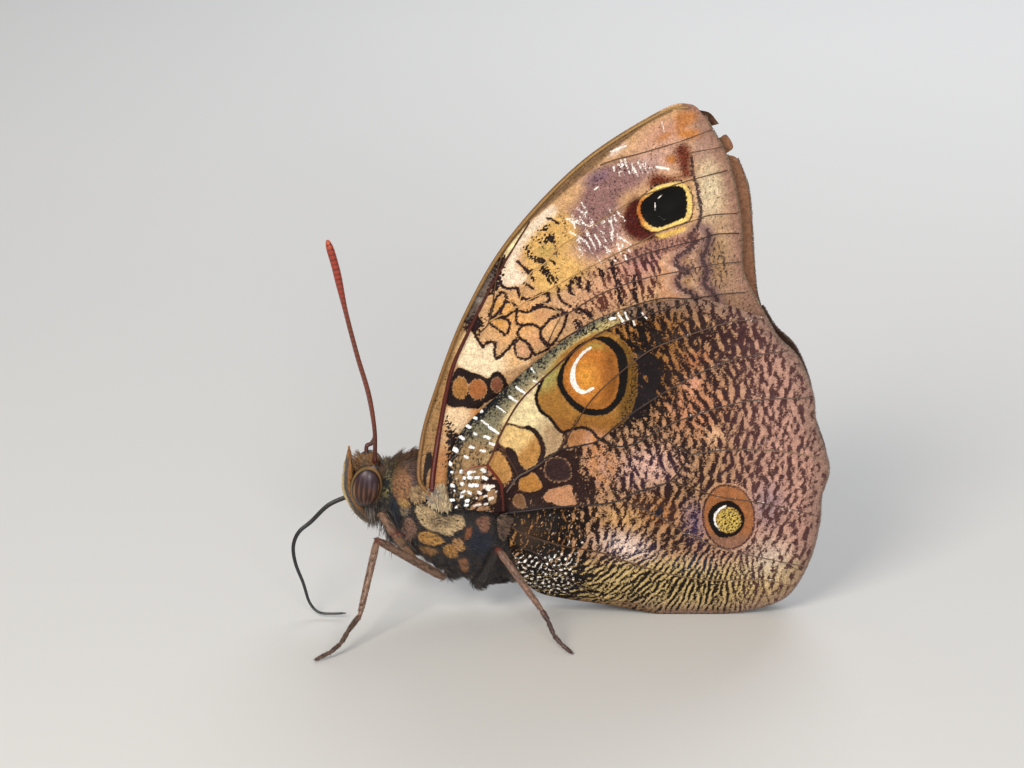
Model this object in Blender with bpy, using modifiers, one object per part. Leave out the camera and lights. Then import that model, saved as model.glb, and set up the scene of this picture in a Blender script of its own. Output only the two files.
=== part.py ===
"""Owl butterfly Opsiphanes at life size, standing with its wings closed over its back.

The head points to -X and the left side of the body to -Y. The floor is z = 0, and the origin is the
middle of the standing insect. Sizes are in millimetres and become metres where a mesh is made.
"""
import math

import bmesh
import bpy
import numpy as np
from mathutils import Vector
from mathutils.geometry import delaunay_2d_cdt

MM = 0.001
GAP = 0.3

# Body sections from neck to waist and from waist to tail: x, top, bottom, half width.
THORAX = (
    (-15.7, 14.3, 9.9, 1.5), (-15.0, 15.2, 8.3, 2.4), (-13.6, 15.8, 6.4, 3.1), (-12.0, 15.8, 4.7, 3.5),
    (-10.0, 15.4, 3.5, 3.5), (-8.0, 14.2, 2.8, 3.3), (-6.2, 12.7, 2.3, 3.0), (-4.8, 11.2, 2.4, 2.6),
)
ABDOMEN = (
    (-4.5, 10.6, 2.5, 2.4), (-3.0, 10.2, 2.2, 2.7), (0.0, 8.8, 1.9, 2.7), (3.0, 7.0, 1.6, 2.4),
    (6.0, 5.1, 1.3, 1.8), (8.0, 3.7, 1.3, 1.1), (9.0, 2.9, 1.6, 0.5),
)

HEAD_CENTRE = (-17.5, 0.0, 12.6)
HEAD_RADII = (1.45, 2.0, 2.9)
EYE_CENTRE = (-17.55, 1.95, 13.0)
EYE_RADII = (1.4, 1.1, 2.0)

# Wings: thickness of the membrane, height of a vein over each face, and half a vein's width.
MEMBRANE = 0.5
VEIN_HEIGHT = 0.14
VEIN_HALF = 0.42
FORE_REST = 0.55
HIND_REST = 1.65
PLATE_STEP = 1.1
BODY_CLEAR = 0.7
FAR_WING_TURN = 2.3
OUTLINE_STEP = 1.5
VEIN_STEP = 2.0
FINE_GRID = 1.5
COARSE_GRID = 3.4

FORE_HINGE = (-11.6, 13.0)
FORE_INNER = ((-10.6, 12.8), (19.2, 25.2))
FORE_FRONT = (
    (-11.6, 12.7), (-12.9, 14.2), (-12.6, 17.6), (-11.6, 21.2), (-8.8, 28.9), (-4.6, 36.5),
    (1.9, 43.7), (9.0, 48.5), (11.7, 49.1), (13.0, 48.0),
)
FORE_EDGE = (
    (15.2, 43.7), (16.4, 38.2), (16.7, 33.6), (18.1, 30.5), (19.8, 27.1), (19.2, 25.2),
)
# The far wing's worn edge as it lies: a gap under the tip, a loose flap and a notch, then whole again.
FORE_TORN = (
    (13.5, 46.6), (14.3, 45.6), (15.0, 46.0), (15.7, 44.8), (15.0, 44.1), (16.1, 43.7), (17.1, 41.0),
    (17.5, 37.5), (17.9, 32.7), (18.4, 30.0), (19.9, 26.9), (19.8, 24.4),
)
FORE_BACK = ((8.0, 20.2), (-2.0, 15.2), (-8.0, 13.0), (-10.6, 12.6))

HIND_FRONT = (
    (-8.1, 11.6), (-9.6, 12.1), (-10.2, 14.5), (-9.1, 18.1), (-5.8, 21.8), (-2.1, 25.6),
    (1.5, 28.4), (6.0, 30.5), (12.8, 31.1), (18.8, 29.4),
)
HIND_EDGE = (
    (20.0, 27.4), (21.9, 25.4), (23.3, 22.0), (23.7, 19.0), (25.0, 14.8), (24.4, 11.8), (24.3, 9.2),
    (23.4, 5.2), (21.3, 1.7), (17.4, 0.3), (14.5, 0.0), (9.5, 0.0),
)
HIND_BACK = ((5.0, 0.9), (0.3, 1.8), (-1.8, 2.5), (-3.2, 4.2), (-4.5, 7.8), (-4.9, 10.4))

FORE_VEINS = (
    ((-11.5, 13.6), (-11.2, 16.5), (-9.7, 24.0), (-6.7, 30.8), (-2.6, 38.2), (0.6, 41.5)),
    ((-8.6, 26.4), (-5.3, 33.2), (-0.2, 40.2), (4.6, 44.8), (10.1, 48.2)),
    ((4.2, 44.0), (9.0, 45.3), (13.6, 46.7)),
    ((-6.9, 27.9), (-1.2, 34.0), (6.0, 39.8), (14.8, 42.9)),
    ((-2.6, 30.8), (3.8, 34.4), (10.4, 37.8), (15.7, 39.0)),
    ((-0.6, 28.4), (3.8, 31.2), (11.0, 33.5), (16.1, 34.3)),
    ((-10.9, 13.8), (-7.6, 20.6), (-2.4, 25.4), (5.4, 29.4), (16.7, 31.6)),
    ((-9.6, 14.0), (0.0, 18.2), (9.4, 22.4), (18.2, 26.6)),
)
HIND_VEINS = (
    ((-5.3, 11.0), (-5.4, 13.8), (-6.4, 15.5), (-5.2, 18.2), (-0.7, 24.0), (5.6, 28.4), (11.9, 30.5)),
    ((-4.6, 12.4), (-3.4, 14.1), (0.2, 16.6), (2.9, 21.2), (8.4, 26.2), (18.2, 29.2)),
    ((0.9, 16.8), (3.9, 17.6), (11.2, 23.1), (20.8, 26.2)),
    ((4.6, 17.3), (7.6, 17.4), (12.1, 19.8), (23.1, 21.7)),
    ((8.8, 18.0), (12.2, 16.2), (17.7, 16.6), (24.5, 15.5)),
    ((-4.6, 10.6), (0.2, 10.9), (6.4, 11.9), (10.4, 13.6), (12.0, 15.6)),
    ((10.9, 13.3), (15.0, 11.9), (24.0, 10.0)),
    ((6.9, 11.3), (11.9, 8.3), (16.6, 6.5), (23.1, 4.9)),
    ((-4.4, 9.6), (0.2, 7.5), (8.2, 4.8), (14.0, 3.6), (22.2, 3.0)),
    ((-3.4, 7.4), (1.0, 4.6), (4.0, 2.4), (8.7, 0.9)),
)

# Soft mouth parts and feelers, as points on the left side or the middle line.
PALP = ((-17.4, 8.9), (-18.5, 9.8), (-19.2, 11.2), (-19.5, 13.0), (-19.4, 14.8), (-19.5, 16.1))
PALP_SIDE = (1.15, 1.05, 1.0, 1.0, 0.85, 0.7)
PALP_RADII = (0.34, 0.46, 0.46, 0.45, 0.34, 0.14)
PROBOSCIS = (
    (-19.3, 0.0, 11.3), (-21.3, -0.2, 10.4), (-22.9, -0.5, 8.9), (-24.1, -0.8, 7.9), (-24.6, -1.1, 6.6),
    (-24.4, -1.4, 5.0), (-23.7, -1.8, 3.2), (-23.2, -2.2, 1.6), (-22.6, -2.4, 0.75), (-21.9, -2.5, 0.45),
    (-20.8, -2.6, 0.45), (-19.7, -2.6, 0.5),
)
PROBOSCIS_RADIUS = 0.25
PROBOSCIS_TIP = 0.12
NEAR_ANTENNA = (
    (-16.9, -0.8, 15.6), (-16.85, -1.0, 18.0), (-17.3, -1.2, 21.7), (-18.3, -1.6, 25.7),
    (-19.3, -1.8, 30.1), (-20.1, -2.1, 34.2), (-20.8, -2.2, 36.9),
)
FAR_ANTENNA = (
    (-17.7, 0.85, 15.4), (-17.7, 0.95, 15.85), (-17.2, 1.1, 16.15), (-16.95, 1.2, 17.2),
    (-17.5, 1.4, 20.8), (-18.5, 1.7, 24.5), (-19.5, 1.9, 28.7), (-20.3, 2.1, 32.7), (-21.0, 2.2, 35.3),
)
FEELER_SHAFT = 0.26
FEELER_CLUB = 0.38
CLUB_SHARE = 0.32

# Legs on the left side: root, knee, ankle and the foot's points, each x, y, z.
MID_LEG = (
    (-10.5, -2.6, 4.1), (-16.6, -5.0, 8.9), (-18.15, -8.3, 2.8),
    ((-19.2, -9.8, 1.85), (-19.8, -10.8, 1.1), (-20.7, -11.6, 0.6), (-22.0, -12.4, 0.22)),
)
FAR_MID_LEG = (
    (-10.3, -2.6, 4.0), (-11.6, -6.6, 8.6), (-11.9, -8.8, 2.7),
    ((-12.0, -9.9, 1.7), (-12.1, -10.8, 1.0), (-12.4, -11.7, 0.5), (-12.9, -12.4, 0.22)),
)
HIND_LEG = (
    (-7.0, -2.85, 3.9), (-5.5, -5.0, 8.0), (-1.5, -8.2, 3.3),
    ((-0.9, -8.9, 2.5), (-0.4, -9.7, 1.5), (0.3, -10.3, 0.8), (1.2, -10.8, 0.22)),
)
FORELEG = ((-16.3, -2.2, 10.2), (-15.2, -2.5, 8.5), (-13.9, -2.3, 6.4))
FORELEG_RADII = (0.26, 0.36, 0.27)
FEMUR_RADIUS = 0.42
TIBIA_RADIUS = 0.34
FOOT_RADIUS = 0.27
COXAE = (((-9.8, 1.2, 4.1), (0.9, 0.7, 0.9)), ((-7.3, 1.3, 3.4), (1.0, 0.8, 1.0)))

COLOURS = {
    "body": (0.20, 0.12, 0.06), "eye": (0.09, 0.05, 0.03), "wing": (0.30, 0.19, 0.11),
    "leg": (0.27, 0.17, 0.11), "feeler": (0.30, 0.05, 0.02), "proboscis": (0.02, 0.02, 0.02),
}
ROUGHNESS = {"body": 0.85, "eye": 0.25, "wing": 0.7, "leg": 0.7, "feeler": 0.45, "proboscis": 0.3}


def clear_scene():
    for obj in list(bpy.data.objects):
        bpy.data.objects.remove(obj)


def material(kind, node):
    """The Principled material of one node, in the colour of its kind."""
    made = bpy.data.materials.new(f"{kind}_{node}")
    made.use_nodes = True
    shader = made.node_tree.nodes["Principled BSDF"]
    shader.inputs["Base Color"].default_value = (*COLOURS[kind], 1.0)
    shader.inputs["Roughness"].default_value = ROUGHNESS[kind]
    return made


def place(name, mesh, kind, collection):
    """Put a mesh into the collection as one named object with its own material."""
    obj = bpy.data.objects.new(name, mesh)
    collection.objects.link(obj)
    if kind:
        mesh.materials.append(material(kind, name))
    mesh.shade_smooth()
    return obj


def smooth_line(points, step):
    """Points about one step apart on a Catmull-Rom curve through the given ones."""
    points = np.array(points, float)
    padded = np.vstack([2 * points[0] - points[1], points, 2 * points[-1] - points[-2]])
    line = []
    for i in range(len(points) - 1):
        a, b, c, d = padded[i:i + 4]
        count = max(1, round(np.linalg.norm(c - b) / step))
        for t in np.arange(count) / count:
            line.append(b + 0.5 * t * (c - a + t * (2 * a - 5 * b + 4 * c - d + t * (3 * (b - c) + d - a))))
    return np.array([*line, points[-1]])


def ease(t):
    t = np.clip(t, 0, 1)
    return t * t * (3 - 2 * t)


def soft_max(a, b, blend=0.8):
    overlap = np.maximum(blend - np.abs(a - b), 0) / blend
    return np.maximum(a, b) + overlap * overlap * blend / 4


def body_bulge(x, z):
    """How far from the middle plane a wing lies to pass over the body at x, z."""
    sections = np.array(THORAX + ABDOMEN)
    top, bottom, half = (np.interp(x, sections[:, 0], sections[:, column]) for column in (1, 2, 3))
    height = (z - (top + bottom) / 2) / ((top - bottom) / 2)
    tail = ease((sections[-1, 0] + 4 - x) / 4)
    return (half + BODY_CLEAR) * np.exp(-(height / 1.35) ** 2) * tail


def fore_side(x, z):
    """Distance of the forewing's middle surface from the body's middle plane."""
    return soft_max(FORE_REST, body_bulge(x, z))


def hind_side(x, z):
    """The hindwing lies outside the forewing, and hugs the body below the forewing's lower edge."""
    start, end = np.array(FORE_INNER)
    along = (end - start) / np.linalg.norm(end - start)
    above = (z - start[1]) * along[0] - (x - start[0]) * along[1]
    covered = ease((above + 4.0) / 2.7)
    hugging = soft_max(HIND_REST, body_bulge(x, z))
    return hugging * (1 - covered) + (fore_side(x, z) + PLATE_STEP) * covered


def turned(points, degrees):
    """Points x, z turned about the forewing's hinge, tip towards +X."""
    angle = math.radians(degrees)
    hinge = np.array(FORE_HINGE)
    turn = np.array(((math.cos(angle), math.sin(angle)), (-math.sin(angle), math.cos(angle))))
    return (np.array(points) - hinge) @ turn.T + hinge


def distance_to_lines(points, lines):
    """Distance from each point to the nearest segment of the lines."""
    nearest = np.full(len(points), 1e9)
    for line in lines:
        for a, b in zip(line[:-1], line[1:]):
            along = b - a
            share = np.clip((points - a) @ along / (along @ along), 0, 1)
            nearest = np.minimum(nearest, np.linalg.norm(points - a - share[:, None] * along, axis=1))
    return nearest


def inside(points, outline):
    """Which points lie inside a closed outline."""
    result = np.zeros(len(points), bool)
    for a, b in zip(outline, np.roll(outline, -1, axis=0)):
        crosses = (a[1] > points[:, 1]) != (b[1] > points[:, 1])
        rise = b[1] - a[1] if b[1] != a[1] else 1e-9
        result ^= crosses & (points[:, 0] < a[0] + (points[:, 1] - a[1]) * (b[0] - a[0]) / rise)
    return result


def filling(outline, lines):
    """Grid points inside the outline, closer together over the body, clear of the edge and veins."""
    low, high = outline.min(axis=0), outline.max(axis=0)
    grids = []
    for step, over_body in ((FINE_GRID, True), (COARSE_GRID, False)):
        rows = np.arange(low[1], high[1], step * 0.87)
        grid = np.array([
            (x, z) for row, z in enumerate(rows)
            for x in np.arange(low[0] + (row % 2) * step / 2, high[0], step)
        ])
        bulging = body_bulge(grid[:, 0], grid[:, 1]) > 0.5
        grids.append(grid[bulging == over_body])
    grid = np.vstack(grids)
    grid = grid[well_inside(grid, outline, 0.5 * OUTLINE_STEP)]
    return grid[distance_to_lines(grid, lines) > VEIN_HALF + 0.5]


def well_inside(points, outline, margin):
    """Which points lie inside a closed outline and at least the margin from it."""
    closed = np.vstack([outline, outline[:1]])
    return inside(points, outline) & (distance_to_lines(points, [closed]) > margin)


def vein_line(vein, outline):
    """A vein's middle line, ended short of the wing's edge."""
    line = smooth_line(vein, VEIN_STEP)
    return line[well_inside(line, outline, VEIN_HALF)]


def vein_sides(line, outline):
    """The two feet of a vein's ridge, kept inside the outline."""
    along = np.gradient(line, axis=0)
    across = np.stack([-along[:, 1], along[:, 0]], axis=1) / np.linalg.norm(along, axis=1)[:, None]
    feet = np.vstack([line + VEIN_HALF * across, line - VEIN_HALF * across])
    return feet[well_inside(feet, outline, 0.6 * VEIN_HALF)]


def wing(name, outline_parts, veins, side, sign, collection):
    """One wing: a curved sheet over x, z with its veins as ridges, thickened to both faces alike."""
    outline = np.vstack([smooth_line(part, OUTLINE_STEP)[:-1] for part in outline_parts])
    outline[:, 1] = np.maximum(outline[:, 1], 0.0)
    lines = [vein_line(vein, outline) for vein in veins]
    feet = np.vstack([vein_sides(line, outline) for line in lines])
    feet = feet[distance_to_lines(feet, lines) > VEIN_HALF * 0.9]
    points = [*outline]
    edges = []
    for line in lines:
        first = len(points)
        points.extend(line)
        edges.extend((i, i + 1) for i in range(first, len(points) - 1))
    points.extend(feet)
    points.extend(filling(outline, lines))
    flat = [Vector(point) for point in points]
    verts, _, faces, *_ = delaunay_2d_cdt(flat, edges, [list(range(len(outline)))], 1, 0.02)

    flat = np.array(verts)
    ridge = np.clip(1 - distance_to_lines(flat, lines) / VEIN_HALF, 0, 1)
    depth = sign * side(flat[:, 0], flat[:, 1])
    mesh = bpy.data.meshes.new(name)
    corners = np.stack([flat[:, 0], depth, flat[:, 1]], axis=1) * MM
    mesh.from_pydata(corners.tolist(), [], [list(face) for face in faces])
    obj = place(name, mesh, "wing", collection)
    group = obj.vertex_groups.new(name="vein")
    for index, weight in enumerate(ridge):
        group.add([index], float(weight), "REPLACE")
    solidify = obj.modifiers.new("thickness", "SOLIDIFY")
    solidify.thickness = (MEMBRANE + 2 * VEIN_HEIGHT) * MM
    solidify.offset = 0.0
    solidify.vertex_group = "vein"
    solidify.thickness_vertex_group = MEMBRANE / (MEMBRANE + 2 * VEIN_HEIGHT)
    return obj


def forewing_outline(edge, degrees):
    """The parts of a forewing's outline: front edge, outer edge, inner edge and root."""
    parts = (FORE_FRONT, (FORE_FRONT[-1], *edge), (edge[-1], *FORE_BACK), (FORE_BACK[-1], FORE_FRONT[0]))
    return [turned(part, degrees) for part in parts]


def hindwing_outline():
    return (
        HIND_FRONT, (HIND_FRONT[-1], *HIND_EDGE), (HIND_EDGE[-1], *HIND_BACK),
        (HIND_BACK[-1], HIND_FRONT[0]),
    )


def build_wings(collection):
    wing("forewing_left", forewing_outline(FORE_EDGE, 0), FORE_VEINS, fore_side, -1, collection)
    far_veins = [turned(vein, FAR_WING_TURN) for vein in FORE_VEINS]
    far_outline = forewing_outline(turned(FORE_TORN, -FAR_WING_TURN), FAR_WING_TURN)
    wing("forewing_right", far_outline, far_veins, fore_side, 1, collection)
    wing("hindwing_left", hindwing_outline(), HIND_VEINS, hind_side, -1, collection)
    wing("hindwing_right", hindwing_outline(), HIND_VEINS, hind_side, 1, collection)


def body_loft(name, sections, collection, sides=20, step=0.9):
    """A closed body through upright oval sections along X, with flat ends."""
    made = bmesh.new()
    rings = []
    for x, top, bottom, half in smooth_line(sections, step):
        middle, tall = (top + bottom) / 2, (top - bottom) / 2
        angles = [2 * math.pi * i / sides for i in range(sides)]
        ring = [(x, half * math.sin(angle), middle + tall * math.cos(angle)) for angle in angles]
        rings.append([made.verts.new(Vector(point) * MM) for point in ring])
    for one, two in zip(rings, rings[1:]):
        for i in range(sides):
            made.faces.new((one[i], one[i - 1], two[i - 1], two[i]))
    made.faces.new(rings[0])
    made.faces.new(reversed(rings[-1]))
    bmesh.ops.recalc_face_normals(made, faces=made.faces)
    mesh = bpy.data.meshes.new(name)
    made.to_mesh(mesh)
    made.free()
    return place(name, mesh, "body", collection)


def oval(name, centre, radii, kind, collection, segments=18, rings=12):
    """An ellipsoid."""
    made = bmesh.new()
    bmesh.ops.create_uvsphere(made, u_segments=segments, v_segments=rings, radius=MM)
    bmesh.ops.scale(made, vec=radii, verts=made.verts)
    bmesh.ops.translate(made, vec=Vector(centre) * MM, verts=made.verts)
    mesh = bpy.data.meshes.new(name)
    made.to_mesh(mesh)
    made.free()
    return place(name, mesh, kind, collection)


def boolean(obj, operation, pieces):
    """Cut or join a collection of closed meshes, and leave one closed surface."""
    modifier = obj.modifiers.new(operation.lower(), "BOOLEAN")
    modifier.operation = operation
    modifier.operand_type = "COLLECTION"
    modifier.collection = pieces
    modifier.solver = "EXACT"
    bpy.context.view_layer.update()
    evaluated = obj.evaluated_get(bpy.context.evaluated_depsgraph_get())
    mesh = bpy.data.meshes.new_from_object(evaluated)
    obj.modifiers.clear()
    obj.data = mesh
    for piece in list(pieces.objects):
        bpy.data.objects.remove(piece)


def tube(name, points, radii, kind, collection):
    """A tapered tube along a line, with rounded ends and flat where it rests on the floor."""
    line = np.array(points, float)
    radii = np.array(radii, float)
    for end, inner in ((0, 1), (-1, -2)):
        out = (line[end] - line[inner]) / np.linalg.norm(line[end] - line[inner])
        cap = [line[end] + out * radii[end] * share for share in (0.6, 0.95)]
        widths = [radii[end] * share for share in (0.8, 0.3)]
        if end == 0:
            line = np.vstack([cap[::-1], line])
            radii = np.hstack([widths[::-1], radii])
        else:
            line = np.vstack([line, cap])
            radii = np.hstack([radii, widths])
    curve = bpy.data.curves.new(name, "CURVE")
    curve.dimensions = "3D"
    curve.bevel_depth = MM
    curve.bevel_resolution = 2
    curve.use_fill_caps = True
    spline = curve.splines.new("POLY")
    spline.points.add(len(line) - 1)
    for point, place_at, radius in zip(spline.points, line, radii):
        point.co = (*(place_at * MM), 1.0)
        point.radius = radius
    guide = bpy.data.objects.new(name + "_curve", curve)
    collection.objects.link(guide)
    bpy.context.view_layer.update()
    evaluated = guide.evaluated_get(bpy.context.evaluated_depsgraph_get())
    mesh = bpy.data.meshes.new_from_object(evaluated)
    bpy.data.objects.remove(guide)
    made = bmesh.new()
    made.from_mesh(mesh)
    bmesh.ops.remove_doubles(made, verts=made.verts, dist=1e-7)
    for vert in made.verts:
        vert.co.z = max(vert.co.z, 0.0)
    made.to_mesh(mesh)
    made.free()
    mesh.materials.clear()
    return place(name, mesh, kind, collection)


def mirrored(points, sign):
    """Points of the left side, moved to the right side where sign is 1."""
    return np.array(points, float) * (1, -sign, 1)


def build_head(collection, pieces):
    """The head with a socket for each eye, the eyes and the two upturned palps."""
    head = oval("head", HEAD_CENTRE, HEAD_RADII, "body", collection)
    socket_radii = [radius + GAP for radius in EYE_RADII]
    for side, sign in (("left", -1), ("right", 1)):
        centre = mirrored((EYE_CENTRE[0], -EYE_CENTRE[1], EYE_CENTRE[2]), sign)
        oval(f"socket_{side}", centre, socket_radii, None, pieces)
        oval(f"eye_{side}", centre, EYE_RADII, "eye", collection, 16, 10)
        line = [(x, sign * y, z) for (x, z), y in zip(PALP, PALP_SIDE)]
        smooth = smooth_line([(*point, radius) for point, radius in zip(line, PALP_RADII)], 0.9)
        tube(f"palp_{side}", smooth[:, :3], smooth[:, 3], "body", collection)
    boolean(head, "DIFFERENCE", pieces)


def build_proboscis(collection):
    """The drinking tube in three lengths, which meet end to end."""
    line = smooth_line(PROBOSCIS, 0.8)
    joints = (0, round(len(line) * 0.4), round(len(line) * 0.68), len(line) - 1)
    for name, start, end in zip(("base", "bend", "tip"), joints, joints[1:]):
        part = line[start:end + 1]
        if start > 0:
            part = part[1:]
        radii = np.full(len(part), PROBOSCIS_RADIUS)
        if name == "tip":
            radii = np.linspace(PROBOSCIS_RADIUS, PROBOSCIS_TIP, len(part))
        tube(f"proboscis_{name}", part, radii, "proboscis", collection)


def build_antennae(collection):
    """Two straight feelers, which thicken slowly into a club."""
    for side, route in (("left", NEAR_ANTENNA), ("right", FAR_ANTENNA)):
        line = smooth_line(route, 1.4)
        share = np.linspace(0, 1, len(line))
        club = ease((share - 1 + CLUB_SHARE) / (CLUB_SHARE * 0.5))
        tip = 1 - 0.35 * ease((share - 0.9) / 0.1)
        radii = (FEELER_SHAFT + (FEELER_CLUB - FEELER_SHAFT) * club) * tip
        tube(f"antenna_{side}", line, radii, "feeler", collection)


def build_leg(name, sign, joints, collection):
    """One walking leg: thigh, shin and a foot that ends flat on the floor."""
    root, knee, ankle = (mirrored(point, sign) for point in joints[:3])
    foot = mirrored(joints[3], sign)
    shin = (ankle - knee) / np.linalg.norm(ankle - knee)
    toe = (foot[0] - ankle) / np.linalg.norm(foot[0] - ankle)
    thigh = np.array([root + (knee - root) * share for share in (0, 0.35, 0.7, 1)])
    thigh_radii = np.array((0.85, 1.1, 1.0, 0.85)) * FEMUR_RADIUS
    tube(f"{name}_femur", thigh, thigh_radii, "leg", collection)
    top = knee + shin * (thigh_radii[-1] + GAP + TIBIA_RADIUS)
    shank = np.array([top + (ankle - top) * share for share in (0, 0.5, 1)])
    tube(f"{name}_tibia", shank, np.array((1.0, 0.95, 0.85)) * TIBIA_RADIUS, "leg", collection)
    start = ankle + toe * (TIBIA_RADIUS * 0.85 + GAP + FOOT_RADIUS)
    line = smooth_line([start, *foot[1:]], 1.0)
    tube(f"{name}_tarsus", line, np.full(len(line), FOOT_RADIUS), "leg", collection)


def build_legs(collection):
    for side, sign in (("left", -1), ("right", 1)):
        line = smooth_line([(*point, radius) for point, radius in zip(FORELEG, FORELEG_RADII)], 0.9)
        tube(f"foreleg_{side}", mirrored(line[:, :3], sign), line[:, 3], "leg", collection)
        build_leg(f"hindleg_{side}", sign, HIND_LEG, collection)
    build_leg("midleg_left", -1, MID_LEG, collection)
    build_leg("midleg_right", 1, FAR_MID_LEG, collection)


def build_trunk(collection, pieces):
    """The thorax with the leg roots under it, and the abdomen between the hindwings."""
    thorax = body_loft("thorax", THORAX, collection)
    for index, (centre, radii) in enumerate(COXAE):
        for sign in (-1, 1):
            placed = (centre[0], sign * centre[1], centre[2])
            oval(f"coxa_{index}_{sign}", placed, radii, None, pieces, 12, 8)
    boolean(thorax, "UNION", pieces)
    body_loft("abdomen", ABDOMEN, collection)


def main():
    clear_scene()
    insect = bpy.data.collections.new("opsiphanes")
    pieces = bpy.data.collections.new("pieces")
    bpy.context.scene.collection.children.link(insect)
    bpy.context.scene.collection.children.link(pieces)
    build_trunk(insect, pieces)
    build_head(insect, pieces)
    build_proboscis(insect)
    build_antennae(insect)
    build_legs(insect)
    build_wings(insect)


main()
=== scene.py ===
import math

import bpy
import numpy as np
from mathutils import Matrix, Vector


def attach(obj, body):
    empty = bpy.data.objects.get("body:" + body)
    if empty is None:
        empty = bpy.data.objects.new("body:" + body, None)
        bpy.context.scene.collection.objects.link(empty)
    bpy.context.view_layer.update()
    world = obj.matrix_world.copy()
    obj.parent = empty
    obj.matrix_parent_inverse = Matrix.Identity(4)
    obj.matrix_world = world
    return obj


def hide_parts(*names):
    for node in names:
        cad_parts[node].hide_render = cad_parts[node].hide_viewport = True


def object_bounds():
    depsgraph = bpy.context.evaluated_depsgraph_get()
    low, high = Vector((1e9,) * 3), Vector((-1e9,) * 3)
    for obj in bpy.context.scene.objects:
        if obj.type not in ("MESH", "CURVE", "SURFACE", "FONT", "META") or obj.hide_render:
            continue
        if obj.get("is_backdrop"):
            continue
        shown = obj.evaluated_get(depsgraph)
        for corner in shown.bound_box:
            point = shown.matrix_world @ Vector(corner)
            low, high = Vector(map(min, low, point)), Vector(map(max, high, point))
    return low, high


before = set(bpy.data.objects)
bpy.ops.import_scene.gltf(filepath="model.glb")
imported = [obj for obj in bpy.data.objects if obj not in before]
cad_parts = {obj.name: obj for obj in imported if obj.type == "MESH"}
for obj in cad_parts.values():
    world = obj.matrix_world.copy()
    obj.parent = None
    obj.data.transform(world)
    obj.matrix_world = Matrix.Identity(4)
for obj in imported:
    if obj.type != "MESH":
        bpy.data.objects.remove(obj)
cad_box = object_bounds()

# The viewpoint: a long macro lens that looks down 20 degrees at the butterfly's left side,
# from 0.3 m away, so that the closed wings stand nearly square to it.
MM = 0.001
LENS_PLACE = (-4.2, -295.1, 129.75)
LENS_TILT = 70.0

lens = bpy.data.cameras.new("macro_lens")
lens.lens = 120.0
lens.sensor_width = 36.0
camera = bpy.data.objects.new("camera", lens)
bpy.context.scene.collection.objects.link(camera)
camera.location = Vector(LENS_PLACE) * MM
camera.rotation_euler = (math.radians(LENS_TILT), 0.0, 0.0)
bpy.context.scene.camera = camera
bpy.context.scene.view_settings.view_transform = "Standard"

# The table it is shown on: a wide sheet of pale matte paper under soft boxes, the largest
# high to the left of the lens, which light the wings evenly and leave a soft shadow below.
TABLE_REACH = 3000.0
TABLE_DROP = 0.03
TABLE_CORNERS = 96
PAPER_FIBRE = 0.6
SOFT_BOXES = (
    # name, place, side of the box, watts, colour
    ("key_box", (-150.0, -270.0, 260.0), 150.0, 0.85, "#fff6ea"),
    ("lens_box", (60.0, -330.0, 150.0), 90.0, 0.4, "#ffffff"),
    ("far_box", (90.0, 260.0, 230.0), 220.0, 0.55, "#f3f6ff"),
)
BOX_AIM = (2.0, 0.0, 18.0)
ROOM_COLOUR, ROOM_LIGHT = "#e4e6ea", 0.42


def srgb(code):
    """A hex colour turned to linear red, green, blue and full alpha."""
    parts = [int(code[i:i + 2], 16) / 255 for i in (1, 3, 5)]
    return (*(p / 12.92 if p <= 0.04045 else ((p + 0.055) / 1.055) ** 2.4 for p in parts), 1.0)


def add(tree, kind, inputs=None, **settings):
    """Adds a shader node; inputs maps a socket to a value or to another node's output."""
    made = tree.nodes.new("ShaderNode" + kind)
    for name, value in settings.items():
        setattr(made, name, value)
    for socket, value in (inputs or {}).items():
        if isinstance(value, bpy.types.NodeSocket):
            tree.links.new(value, made.inputs[socket])
        else:
            made.inputs[socket].default_value = value
    return made


def sized(millimetres):
    """The scale of a texture whose features are of a size."""
    return 1 / (millimetres * MM)


def finish_named(name, roughness, **sockets):
    """A material with one Principled shader, whose even values are set on its own sockets."""
    material = bpy.data.materials.new(name)
    material.use_nodes = True
    shader = material.node_tree.nodes["Principled BSDF"]
    shader.inputs["Roughness"].default_value = roughness
    for socket, value in sockets.items():
        shader.inputs[socket.replace("_", " ")].default_value = value
    return material, material.node_tree, shader


def piece_from(name, points, triangles, material, layers=None, smooth=True):
    """An object from points in mm and triangles, with colour layers held at its points."""
    mesh = bpy.data.meshes.new(name)
    points, triangles = np.asarray(points, float), np.asarray(triangles, np.int32)
    mesh.vertices.add(len(points))
    mesh.vertices.foreach_set("co", (points * MM).astype(np.float32).ravel())
    mesh.loops.add(triangles.size)
    mesh.loops.foreach_set("vertex_index", triangles.ravel())
    mesh.polygons.add(len(triangles))
    mesh.polygons.foreach_set("loop_start", np.arange(0, triangles.size, 3, dtype=np.int32))
    mesh.update(calc_edges=True)
    mesh.polygons.foreach_set("use_smooth", np.full(len(triangles), smooth))
    for layer, values in (layers or {}).items():
        values = np.asarray(values, np.float32)
        if values.shape[1] == 3:
            values = np.hstack([values, np.ones((len(values), 1), np.float32)])
        mesh.attributes.new(layer, "FLOAT_COLOR", "POINT").data.foreach_set("color", values.ravel())
    mesh.materials.append(material)
    piece = bpy.data.objects.new(name, mesh)
    bpy.context.scene.collection.objects.link(piece)
    return piece


paper, tree, shader = finish_named("matte_paper", 0.9, Specular_IOR_Level=0.2)
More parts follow.
